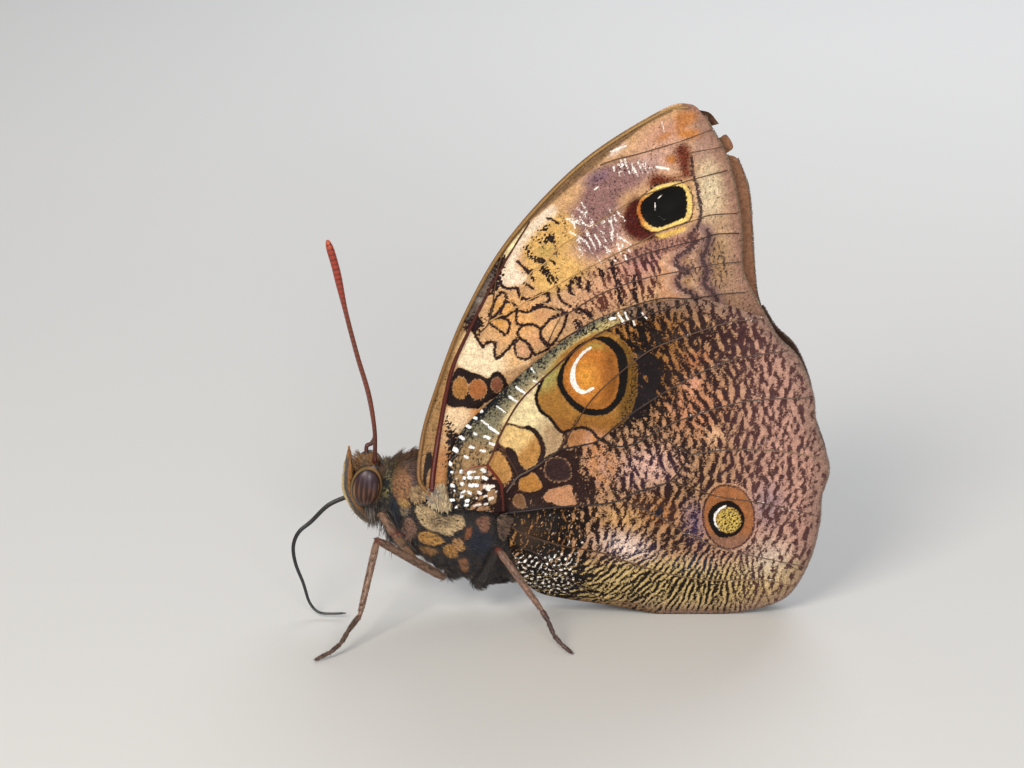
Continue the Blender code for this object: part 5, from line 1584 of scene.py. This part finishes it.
# Ground colours from the root outwards, then the outer band and the tip.
PURPLE_FIELD = (
    (0.1, 38.2), (1.5, 39.8), (2.8, 42.3), (4.6, 43.7), (7.3, 44.0), (8.6, 43.2), (7.3, 41.6), (5.5, 40.2),
    (5.6, 37.2), (3.8, 34.8), (2.2, 35.2), (1.2, 36.8),
)
GOLDEN_FIELD = (
    (-3.1, 36.5), (-1.7, 38.2), (-0.2, 38.9), (1.0, 38.7), (1.8, 36.9), (0.7, 35.3), (1.7, 34.4),
    (2.4, 33.1), (0.2, 31.7), (-1.7, 31.5), (-2.8, 33.6),
)
CREAM_BAND = (
    (-5.3, 32.2), (-5.0, 34.4), (-4.2, 36.1), (-2.9, 37.7), (-1.7, 39.0), (-0.6, 39.7), (-0.2, 39.0),
    (-1.4, 37.8), (-2.7, 36.5), (-3.6, 35.0), (-3.7, 33.8), (-2.8, 32.9), (-3.6, 32.2),
)
CREAM_CELL = (
    (-8.0, 27.6), (-7.5, 26.9), (-6.9, 26.1), (-5.8, 26.5), (-5.6, 24.9), (-4.2, 26.3), (-3.5, 25.0),
    (-2.6, 24.7), (-5.3, 23.7), (-6.2, 23.2), (-8.0, 23.8), (-9.1, 24.4), (-9.4, 25.8), (-8.8, 27.1),
)
LOWER_CREAM = (
    (-10.4, 20.2), (-7.1, 20.2), (-6.0, 20.9), (-6.8, 19.7), (-7.7, 18.8), (-8.5, 18.1), (-9.4, 18.0),
    (-10.1, 18.6),
)
LOWER_BAND = (
    (1.5, 29.6), (3.8, 31.1), (6.5, 32.3), (9.0, 33.0), (9.4, 30.7), (7.4, 30.3), (5.2, 29.8), (3.4, 28.8),
    (2.0, 27.8),
)
TAN_BLOCK = (
    (9.0, 34.4), (10.3, 35.3), (10.7, 34.0), (10.7, 32.3), (11.4, 31.0), (9.4, 30.6), (9.2, 32.2),
    (9.2, 33.1),
)
OUTER_OLIVE = (
    (11.0, 34.4), (12.5, 36.1), (13.9, 36.9), (15.0, 35.9), (15.6, 33.6), (14.9, 31.8), (12.9, 31.4),
    (11.4, 32.3), (11.9, 33.4),
)
ORANGE_APEX = (
    (10.4, 48.1), (11.1, 48.5), (12.1, 48.4), (12.3, 47.7), (11.2, 46.7), (12.4, 46.8), (12.6, 46.2),
    (11.7, 45.9), (10.6, 46.4),
)
costal = to_edge(x, z, np.vstack([smooth_line(FORE_FRONT[:-2], 0.4), smooth_line(THICK_VEIN, 0.4)[::-1]]))
in_costal = ease(0.5 - costal / 0.3)
outer = ease((x - 12.1 + 0.06 * (z - 40)) / 0.6)
cell = within(CREAM_CELL, 0.5)
washes(fore.ground, (
    ("#d3a07c", oval(5.0, 31.5, 9.0, 3.4, 22)), ("#c08a80", 0.95 * oval(8.0, 34.4, 6.0, 2.6, 22)),
    ("#cca088", oval(9.5, 44.5, 6.5, 4.0, 30)), ("#cca090", oval(4.4, 37.2, 3.8, 4.0, 15)),
    ("#96706a", within(PURPLE_FIELD, 1.4)), ("#66567a", 0.5 * oval(3.2, 42.4, 2.4, 1.2, 25)),
    ("#dcae68", within(GOLDEN_FIELD, 1.2)), ("#b89a58", oval(-1.2, 35.4, 1.4, 1.1)),
    # The whitish #ecd8d0 oval by the tip is a painted highlight, under the white streak there.
    ("#f6dcc0", within(CREAM_BAND, 0.8)), ("#ecd8d0", 0.9 * oval(5.0, 45.0, 1.7, 0.8, 32)),
    ("#c9a094", 0.8 * oval(8.0, 43.6, 2.4, 1.6, 20)), ("#e6ab6c", oval(-3.5, 28.8, 4.2, 3.4, 30)),
    ("#f6dcb6", cell), ("#e8b880", cell * ease((x + 6.0) / 2.2)), ("#f2cfa4", within(LOWER_CREAM)),
    ("#dd9458", within(LOWER_CREAM) * ease((x + 8.6) / 1.2)), ("#b98252", ease((17.5 - z) / 1.5)),
    ("#d09a72", within(TAN_BLOCK, 0.5)), ("#bc9878", outer), ("#b08a78", outer * ease((z - 43.0) / 1.6)),
    ("#dcc8a4", outer * oval(13.6, 41.2, 2.2, 4.2)), ("#98744c", 0.7 * within(OUTER_OLIVE, 1.6)),
    ("#a07a62", outer * ease((35.0 - z) / 4.0) * 0.7),
    ("#9a7462", ease(1.1 - fore.inside / 1.5) * (x > 11)), ("#c49078", oval(9.6, 46.6, 3.4, 1.8, 25)),
    ("#b9743a", 0.85 * within(ORANGE_APEX, 0.9)), ("#c07a38", 0.9 * oval(11.4, 46.4, 1.2, 0.6, 10)),
    ("#c08048", 0.9 * oval(9.4, 46.1, 1.4, 0.5, 30)), ("#b8702c", oval(10.1, 44.0, 0.9, 0.8)),
))
in_grey = in_costal * ease((z - 28.0) / 0.8) * ease((34.9 - z) / 0.8)
off_edge = ease((fore.inside - 0.35) / 0.3)
washes(fore.ground, (
    ("#a27c50", in_costal), ("#8a6a4c", in_costal * ease((z - 37.5) / 1.5)),
    ("#f0dca8", in_costal * ease((z - 34.6) / 0.5) * ease((38.4 - z) / 1.2) * off_edge),
    ("#dcbc88", in_costal * ease((z - 23.5) / 3) * ease((28.2 - z) / 0.8) * ease((fore.inside - 0.5) / 0.4)),
    ("#6a5a50", in_grey), ("#9a9288", 0.7 * in_grey * oval(-7.0, 30.6, 0.5, 1.6, 65)),
    ("#6e4e30", in_costal * ease(1 - fore.inside / 0.35) * 0.7),
))
washes(fore.dark, (
    ("#231614", ease((3 - x) / 4)), ("#66382f", oval(5.0, 32.0, 7.0, 4.0, 25)),
    ("#4a2a32", oval(9.0, 35.5, 5.0, 2.5, 15)), ("#7c6444", outer * ease((z - 37) / 2)),
    ("#4c3a34", outer * ease((38 - z) / 2)), ("#48282c", within(PURPLE_FIELD, 1.0)),
))

fore.cover = 0.22 + 0.07 * grain + 0.04 * fine + 0.04 * fore.uneven(1.5)
for amount, share in (
    (0.24 + 0.08 * blots + 0.17 * streaks, within(LOWER_BAND, 2.6)),
    (0.2 + 0.08 * blots + 0.16 * streaks, oval(5.0, 33.2, 7.4, 3.0, 25)),
    (0.06 + 0.12 * bars, oval(6.5, 35.4, 4.0, 1.4, 20)), (0.13 + 0.05 * fine, within(PURPLE_FIELD, 1.2)),
    (0.01 + 0.07 * fine + 0.03 * grain, outer),
    (0.16 * blots + 0.1 * bars + 0.12, oval(8.6, 33.0, 3.6, 2.6, 20)),
    (0.1 * fine + 0.06 * bars + 0.14, within(OUTER_OLIVE, 0.9)), (-0.14, cell),
    (-0.16, within(LOWER_CREAM)), (-0.12, within(CREAM_BAND, 0.5)), (0.08, in_costal),
    (0.1 * blots, within(GOLDEN_FIELD, 1.0)), (0.16, 0.6 * ease((33 - z) / 3) * ease((x - 14.5) / 1.5)),
    (-0.3, within(TAN_BLOCK, 0.3, -0.1)), (0.12, oval(9.0, 44.0, 5.0, 2.6, 25) * ease(0.4 + fine)),
    (0.2 * bars + 0.18 * blots + 0.06, oval(-1.0, 34.6, 1.9, 2.2)),
):
    fore.cover = fore.cover + amount * share

# Drawn marks: lines and small rings of dark scales, the bar across the cell, and smudges.
RINGS = (
    ((-6.2, 28.9), (-5.7, 29.0), (-5.1, 29.0), (-4.7, 28.9), (-4.4, 28.4), (-4.5, 27.8), (-4.8, 27.3),
     (-5.1, 27.6), (-5.4, 27.9), (-5.8, 28.1), (-6.2, 28.5)),
    ((-5.2, 29.6), (-5.0, 30.1), (-4.7, 30.5), (-4.2, 30.5), (-3.8, 30.1), (-3.7, 29.8), (-4.1, 29.6),
     (-4.7, 29.2), (-5.2, 29.2)),
    ((-6.3, 29.2), (-6.0, 30.0), (-5.7, 30.8), (-5.3, 31.3), (-4.8, 31.3), (-4.7, 30.9), (-5.0, 30.2),
     (-5.5, 29.5), (-5.9, 29.0)),
    ((-4.0, 26.5), (-3.6, 26.9), (-3.0, 26.7), (-2.6, 26.2), (-2.4, 25.7), (-2.6, 25.1), (-3.1, 25.0),
     (-3.7, 25.2), (-3.9, 25.8)),
    ((-3.7, 27.5), (-3.4, 28.1), (-2.7, 28.3), (-2.0, 28.2), (-1.6, 27.7), (-1.6, 27.0), (-1.2, 26.5),
     (-0.8, 26.1), (-1.5, 25.7), (-2.1, 25.4), (-2.4, 26.0), (-2.6, 26.4), (-3.1, 26.8)),
    ((-3.8, 28.4), (-3.8, 29.2), (-3.7, 29.7), (-2.9, 29.5), (-2.3, 29.8), (-1.4, 30.1), (-0.5, 29.9),
     (0.7, 29.6), (-0.2, 29.1), (-0.9, 28.7), (-1.5, 28.0), (-2.4, 28.4), (-3.1, 28.3)),
    ((-1.6, 27.8), (-0.9, 28.7), (-0.2, 29.2), (0.8, 29.6), (0.7, 28.9), (0.4, 27.9), (-0.2, 26.9),
     (-0.7, 26.3), (-1.2, 26.8), (-1.6, 27.3)),
)
WAVES = (
    ((12.5, 37.6), (11.9, 36.8), (12.5, 36.3), (11.7, 35.5), (10.7, 34.7), (10.6, 34.2), (11.1, 33.8),
     (11.8, 33.5), (11.0, 33.1), (10.8, 32.3), (11.3, 31.7), (12.2, 31.3), (12.7, 30.9)),
    ((13.4, 37.4), (13.6, 36.6), (13.3, 35.3), (13.0, 34.6), (13.5, 33.6), (13.4, 33.0), (13.2, 32.3),
     (13.8, 31.7), (14.3, 31.1), (14.5, 30.5)),
)
DARK_LINES = (
    # line, half its width
    (((-8.4, 28.0), (-7.7, 28.2), (-7.6, 27.6), (-7.4, 27.0), (-7.1, 26.6), (-6.9, 26.2), (-6.6, 26.5),
      (-6.1, 26.7), (-5.7, 26.6), (-5.8, 26.0), (-5.8, 25.5), (-5.6, 25.0), (-5.3, 25.2), (-4.7, 25.8),
      (-4.2, 26.5), (-3.8, 27.0)), 0.12),
    (((-5.3, 32.6), (-5.0, 32.0), (-4.4, 31.8), (-3.7, 31.9), (-3.6, 31.4), (-3.4, 30.9), (-2.7, 30.8),
      (-2.2, 30.9), (-1.6, 31.3), (-0.9, 31.4), (-0.9, 31.1), (-0.8, 30.7), (-1.6, 30.3), (-2.3, 30.0)),
     0.13),
    (((-3.7, 34.4), (-3.2, 33.9), (-2.7, 33.3), (-2.4, 33.6)), 0.08), (((-2.4, 32.9), (-2.2, 32.6)), 0.08),
    (((-3.1, 32.4), (-2.7, 32.1), (-2.3, 31.8)), 0.1), (((1.1, 32.4), (1.0, 31.8), (1.3, 31.3)), 0.2),
    (((0.0, 31.9), (0.0, 31.4), (0.3, 30.6), (1.2, 30.1)), 0.08), (((1.8, 32.8), (2.0, 32.0)), 0.25),
    (((5.4, 31.8), (5.6, 31.1), (5.8, 30.4)), 0.2), (((1.8, 29.9), (2.4, 29.6), (3.0, 29.2)), 0.26),
    (((2.6, 31.7), (2.8, 32.4)), 0.22), (((4.9, 34.4), (5.0, 33.6), (5.2, 32.7), (5.5, 32.2)), 0.22),
    (((3.8, 33.6), (4.1, 33.0)), 0.16), (((6.9, 31.7), (7.1, 30.7)), 0.22),
    (((6.8, 33.0), (7.1, 32.4)), 0.25), (((1.6, 28.6), (2.0, 27.9)), 0.18),
    (((-1.0, 38.5), (-0.5, 38.3), (0.0, 38.0)), 0.07),
    (((11.9, 44.2), (12.0, 43.2), (12.1, 42.4), (12.4, 41.5), (12.6, 40.6), (12.8, 39.5), (12.8, 38.5),
      (12.5, 37.7)), 0.12),
    (WAVES[0], 0.15), (WAVES[1], 0.12), *((ring + ring[:1], 0.09) for ring in RINGS),
)
SMUDGES = (
    ((-2.3, 36.7), (-1.7, 36.2), (-1.1, 36.8), (-0.8, 37.0), (-0.3, 36.6), (-0.5, 36.3), (-1.2, 36.1),
     (-1.8, 36.4)),
    ((-3.0, 35.9), (-2.8, 35.9), (-2.6, 35.4), (-2.0, 34.7), (-1.4, 34.5), (-1.6, 34.3), (-2.3, 34.6),
     (-2.9, 35.2)),
    ((-1.7, 33.8), (-1.2, 34.1), (-0.8, 33.6), (-0.7, 33.2), (-0.2, 32.8), (-0.8, 32.4), (-1.1, 33.0)),
    ((-1.7, 37.5), (-1.1, 37.8), (-0.9, 37.5), (-1.5, 37.2)),
    ((-2.8, 33.8), (-2.5, 33.5), (-2.3, 33.2), (-2.7, 33.2)),
    ((3.8, 31.0), (4.3, 31.0), (4.4, 30.5), (4.3, 29.9), (4.0, 29.7), (3.8, 30.2)),
    ((-8.6, 28.2), (-8.0, 29.2), (-7.3, 29.2), (-6.8, 28.6), (-7.3, 27.5), (-8.2, 27.8)),
    ((-5.6, 34.4), (-5.1, 35.0), (-4.7, 34.9), (-4.9, 34.1), (-5.1, 32.8), (-5.5, 31.7), (-6.2, 31.3),
     (-5.9, 33.1)),
    ((-10.2, 19.6), (-9.6, 18.2), (-8.6, 17.4), (-8.8, 15.2), (-9.8, 14.2), (-10.1, 17.0)),
)
for line, half in DARK_LINES:
    near = fore.near(line) - 0.5 * half - 0.085
    fore.darken(near + (0.03 if half < 0.15 else 0.12) * fine)
    wash(fore.dark, "#2a1719" if line[0][0] < 8 else "#4c3838", ease(1 - near / 0.4))
for wave in WAVES:
    wash(fore.ground, "#62465a", 0.62 * ease(1.15 - fore.near(wave) / 0.85))
    wash(fore.ground, "#cfa58c", 0.7 * ease(1 - abs(fore.near([(px - 0.95, pz) for px, pz in wave])) / 0.4))
for outline in SMUDGES:
    fore.darken(edge_of(outline) + 0.05 + 0.17 * fine + 0.15 * grain)
for centre, code in (
    ((-5.3, 28.5), "#dba058"), ((-4.4, 29.9), "#dba058"), ((-5.5, 30.2), "#dba058"),
    ((-3.2, 25.9), "#d9a27c"), ((-2.0, 26.9), "#dba070"), ((-1.6, 29.3), "#d39a6a"),
    ((-0.4, 27.8), "#e8b47c"),
):
    wash(fore.ground, code, oval(*centre, 1.1, 1.1))
BAR = (
    (-9.6, 23.5), (-9.1, 24.2), (-8.7, 24.1), (-8.0, 23.7), (-7.3, 23.5), (-6.7, 23.2), (-6.3, 23.1),
    (-6.0, 23.6), (-5.5, 23.8), (-5.0, 23.4), (-4.7, 22.8), (-4.6, 22.4), (-5.0, 21.8), (-5.6, 21.4),
    (-6.2, 21.0), (-6.8, 20.7), (-7.1, 20.3), (-7.9, 20.2), (-8.8, 20.4), (-9.7, 20.4), (-10.2, 20.8),
    (-10.2, 21.3), (-9.9, 22.5),
)
ROOT_BLACK = (
    (-12.35, 14.0), (-12.25, 15.3), (-11.95, 16.5), (-11.6, 16.2), (-11.5, 15.5), (-11.75, 15.1),
    (-12.0, 14.8), (-12.1, 14.1), (-12.15, 13.5),
)
for outline in (BAR, ROOT_BLACK):
    fore.darken(edge_of(outline) - 0.04)
for centre, radii, code in (
    ((-8.95, 22.2), (0.72, 1.1), "#a8743e"), ((-7.35, 22.05), (0.85, 1.0), "#a8683a"),
    ((-5.6, 22.5), (0.55, 0.75), "#84503a"),
):
    around = (np.hypot((x - centre[0]) / radii[0], (z - centre[1]) / radii[1]) - 1) * min(radii)
    fore.clear(around + 0.04 * grain)
    wash(fore.ground, code, ease(0.5 - around / 0.2))

# The eyespot by the tip: velvety black in a yellow ring, on a wine-red stain, over a strip of
# purple scales with a yellow bar.
OCELLUS = (
    (7.7, 40.3), (8.2, 40.7), (8.9, 41.2), (9.8, 41.5), (10.7, 41.6), (11.3, 41.2), (11.5, 40.5),
    (11.6, 39.5), (11.4, 38.6), (10.8, 38.3), (9.9, 37.9), (9.0, 37.6), (8.3, 37.8), (7.7, 38.4),
    (7.4, 39.0), (7.4, 39.8),
)
OCELLUS_RING = (
    (7.4, 40.3), (8.0, 40.9), (8.8, 41.5), (9.8, 41.8), (10.9, 41.9), (11.5, 41.5), (11.9, 40.6),
    (12.0, 39.5), (11.8, 38.5), (11.2, 38.1), (10.3, 37.8), (9.3, 37.4), (8.4, 37.3), (7.6, 37.8),
    (7.3, 38.5), (7.1, 39.3),
)
STAIN = (
    (7.4, 40.4), (6.6, 40.4), (5.9, 39.3), (5.7, 38.0), (6.2, 36.9), (7.2, 36.3), (8.3, 36.4), (9.0, 36.9),
    (8.9, 38.9),
)
RED_STAINS = (
    STAIN, ((8.0, 41.8), (8.6, 42.6), (10.0, 42.4), (11.1, 42.4), (9.5, 41.6), (8.2, 41.4)),
    ((10.4, 44.9), (10.9, 45.5), (11.6, 45.3), (11.9, 44.4), (11.8, 43.4), (12.0, 42.5), (11.2, 42.3),
     (10.8, 43.3)),
)
PURPLE_STRIP = (
    (6.1, 34.7), (7.4, 35.7), (9.2, 36.5), (11.2, 36.8), (12.6, 37.2), (12.3, 36.2), (10.6, 35.5),
    (8.7, 35.1), (7.0, 34.4),
)
YELLOW_BAR = (
    (8.7, 37.0), (9.4, 37.1), (10.2, 37.3), (11.1, 37.6), (11.6, 37.7), (11.3, 37.3), (10.6, 37.0),
    (9.9, 36.7), (9.2, 36.6),
)
stain_colours = (("#5a1c12", "#340f0c"), ("#7a3418", "#3c1610"), ("#7c3a22", "#44201a"))
for outline, (code, deep) in zip(RED_STAINS, stain_colours):
    stain = within(outline, 0.9)
    wash(fore.ground, code, stain)
    wash(fore.dark, deep, stain)
    fore.settle(stain, 0.48 + 0.1 * grain)
strip = within(PURPLE_STRIP, 0.5, 0.1)
wash(fore.ground, "#a87a68", strip)
wash(fore.dark, "#5a3a38", strip)
fore.cover += strip * (0.2 + 0.08 * fine)
fore.cover += oval(8.4, 34.2, 2.0, 1.4, 25) * (0.2 + 0.1 * streaks)
ring, black = edge_of(OCELLUS_RING), edge_of(OCELLUS)
for code, share in (("#f0cf78", 1.0), ("#dd8f3c", ease((9.0 - x) / 2.0)), ("#c4682a", ease((7.9 - x) / 0.7))):
    wash(fore.ground, code, share * ease(0.5 - ring / 0.15))
rim = ink(np.abs(ring - 0.12) - 0.06)
fore.cover = np.where(ring < 0.2, np.maximum(ink(black + 0.03 * grain), rim), fore.cover)
wash(fore.dark, "#0b0807", ease(1 - ring / 0.5))
bar = edge_of(YELLOW_BAR)
wash(fore.ground, "#e6bb62", ease(0.5 - bar / 0.15))
fore.clear(bar + 0.05 * grain)

# Painted highlights: white streaks where the thin field beyond the cell is creased, standing for light on the
# creases. A few white scales lie on the eyespot too.
crease_highlight = np.max([oval(3.6, 36.6, 4.2, 2.2, 35), 0.95 * oval(5.2, 38.4, 2.0, 2.4, 10),
                  0.9 * oval(7.0, 43.0, 2.4, 1.6, 10), 0.8 * oval(2.0, 39.2, 2.2, 1.6, 40)], axis=0)
fore.shine = crease_highlight ** 0.4 * np.clip(0.5 + 0.15 * streaks + 0.1 * fine - 0.14, 0, 1)
# White strokes: painted highlights on the creased field, except the three on the black of the eyespot.
fore.dashes((
    (5.3, 45.0, 1.4, 20, 0.09), (9.3, 43.2, 1.1, -8, 0.12), (6.6, 43.2, 1.0, -80, 0.05),
    (9.3, 47.0, 1.0, -75, 0.05), (1.4, 37.0, 1.0, -30, 0.07), (2.1, 38.3, 0.8, -55, 0.04),
    (4.8, 38.0, 1.2, -82, 0.06), (3.0, 36.4, 1.2, -58, 0.04), (4.4, 35.6, 0.8, -40, 0.06),
    (2.0, 35.4, 0.9, -58, 0.04), (5.0, 34.6, 0.6, -38, 0.06), (3.0, 37.9, 0.6, -60, 0.04),
    (8.7, 39.6, 0.7, -88, 0.04), (9.1, 40.5, 0.45, 45, 0.04), (9.3, 38.5, 0.5, -30, 0.03),
    (5.8, 36.5, 0.6, -40, 0.08), (3.4, 41.3, 0.5, 40, 0.06), (0.9, 38.4, 0.4, 10, 0.06),
    (3.7, 34.6, 0.6, -50, 0.07),
))
# More painted highlights: short white strokes scattered over the creased field.
draw = np.random.default_rng(6)
for at, high, long, wide, turn_of in (
    (3.4, 36.4, 3.0, 1.5, 30), (5.4, 36.0, 1.2, 1.6, 0), (2.2, 38.4, 1.3, 1.3, 40),
    (6.6, 43.4, 2.2, 1.0, 10),
):
    for _ in range(14):
        across, upward = draw.uniform(-0.85, 0.85, 2) * (long, wide)
        c, s = math.cos(math.radians(turn_of)), math.sin(math.radians(turn_of))
        fore.dashes((
            (at + across * c - upward * s, high + across * s + upward * c, draw.uniform(0.15, 0.65),
             draw.normal(-60, 20), draw.uniform(0.02, 0.08)),
        ))
FORE_CREASES = (((12.5, 39.9), (16.0, 40.4)), ((12.0, 41.0), (15.8, 41.6)), ((1.5, 42.2), (4.0, 43.0)))
crease = np.min([fore.near(line) for line in FORE_CREASES], axis=0)
fore_relief = 0.07 * np.exp(-(fore.vein_near / 0.26) ** 2) + 0.09 * np.exp(-(fore.vein_near / 0.9) ** 2)
fore_relief += 0.035 * fore.uneven(1.4) + 0.03 * fore.uneven(0.7) * oval(4.0, 38.0, 6.0, 5.0, 30)
fore_relief -= 0.11 * np.exp(-(crease / 0.3) ** 2) + 0.08


def fore_upper(px, pz):
    """Brown, with an orange band across and a tan edge."""
    found = colours("#4a2e1e", len(px))
    across = (px - 4.5) * 0.94 - (pz - 36.0) * 0.34
    wash(found, "#c07a34", ease(1 - np.abs(across) / 1.6))
    wash(found, "#8c6248", ease((px - 12.5 + 0.05 * (pz - 40)) / 1.5))
    return plain_face(found)


for sign, label, edge, turn in ((-1, "left", fore_outline, 0.0), (1, "right", worn_outline, FAR_WING_TURN)):
    wing_sheet(f"{label}_forewing", sign, fore_side, edge, fore, fore_relief, fore_upper, turn,
               f"forewing_{label}")
    vein_tubes(f"{label}_forewing_veins", sign, fore_side, FORE_VEINS, turn, edge)
    fringed = FORE_EDGE if sign < 0 else worn[5:]
    fringe(f"{label}_forewing_fringe", sign, fore_side, fringed, turn, 0.22, ("#a98c6c", "#6f5446"),
           50 + sign)

# Shoulders: a pad of long cream and grey scales hides each wing's root, and brown hair runs
# from the hindwing's root towards the leg. They lie over the wings, flat and a little ruffled.
SHOULDER_TUFTS = (
    # outline of the roots, lie in x and z, length, hex colours
    (((-13.6, 13.4), (-12.9, 13.7), (-12.2, 13.3), (-12.3, 12.5), (-13.1, 12.3), (-13.6, 12.7)),
     (0.5, -0.7), 0.4, ("#c4a272", "#8d6c4a")),
    (((-12.3, 13.3), (-11.2, 13.5), (-10.9, 12.7), (-11.8, 12.4)), (0.6, -0.5), 0.5,
     ("#968a80", "#b49a7c")),
    (((-11.3, 13.6), (-10.5, 13.9), (-10.1, 13.3), (-9.8, 12.2), (-10.3, 11.7), (-11.3, 12.0),
      (-11.9, 12.5)), (0.1, -1.0), 0.6, ("#e0cca2", "#c4a482")),
    (((-5.6, 10.3), (-5.0, 10.5), (-4.4, 9.9), (-4.8, 8.9), (-5.4, 8.4)), (0.8, -0.4), 0.5,
     ("#7c5e48", "#2c201a")),
)
SHOULDER_PER_MM2 = 170

for sign, label in ((-1, "left"), (1, "right")):
    draw = np.random.default_rng(90 + sign)
    tufts = []
    for outline, (across, upward), length, codes in SHOULDER_TUFTS:
        corners = rounded(outline)
        low, high = corners.min(axis=0), corners.max(axis=0)
        flat = draw.uniform(low, high, (int(np.prod(high - low) * SHOULDER_PER_MM2), 2))
        flat = flat[to_edge(flat[:, 0], flat[:, 1], corners) < 0]
        outer = hind_side if low[0] > -9 else fore_side
        beyond = outer(flat[:, 0], flat[:, 1]) + HALF_SHEET + draw.uniform(0.02, 0.35, len(flat))
        tints = colours(codes[0], len(flat)) * draw.uniform(0.8, 1.15, (len(flat), 1))
        wash(tints, codes[1], ease(cloudy(flat, 0.5, 91) + draw.normal(scale=0.4, size=len(flat))))
        lie = np.array((across, 0.0, upward)) + draw.normal(scale=0.3, size=(len(flat), 3))
        tufts.append((
            np.stack([flat[:, 0], sign * beyond, flat[:, 1]], axis=1), lie,
            length * draw.uniform(0.7, 1.2, (len(flat), 1)), tints, (flat - low) / (high - low),
        ))
    roots, lie, length, tints, on_map = (np.vstack(arrays) for arrays in zip(*tufts))
    out = np.tile((0.0, float(sign), 0.0), (len(roots), 1))
    tuft = coat(f"{label}_shoulder_tufts", roots, out, lie, length[:, 0], 0.08, tints, on_map, rise=0.12)
    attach(tuft, "root")

low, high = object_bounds()
{"cad": [list(cad_box[0]), list(cad_box[1])], "visual": [list(low), list(high)]}
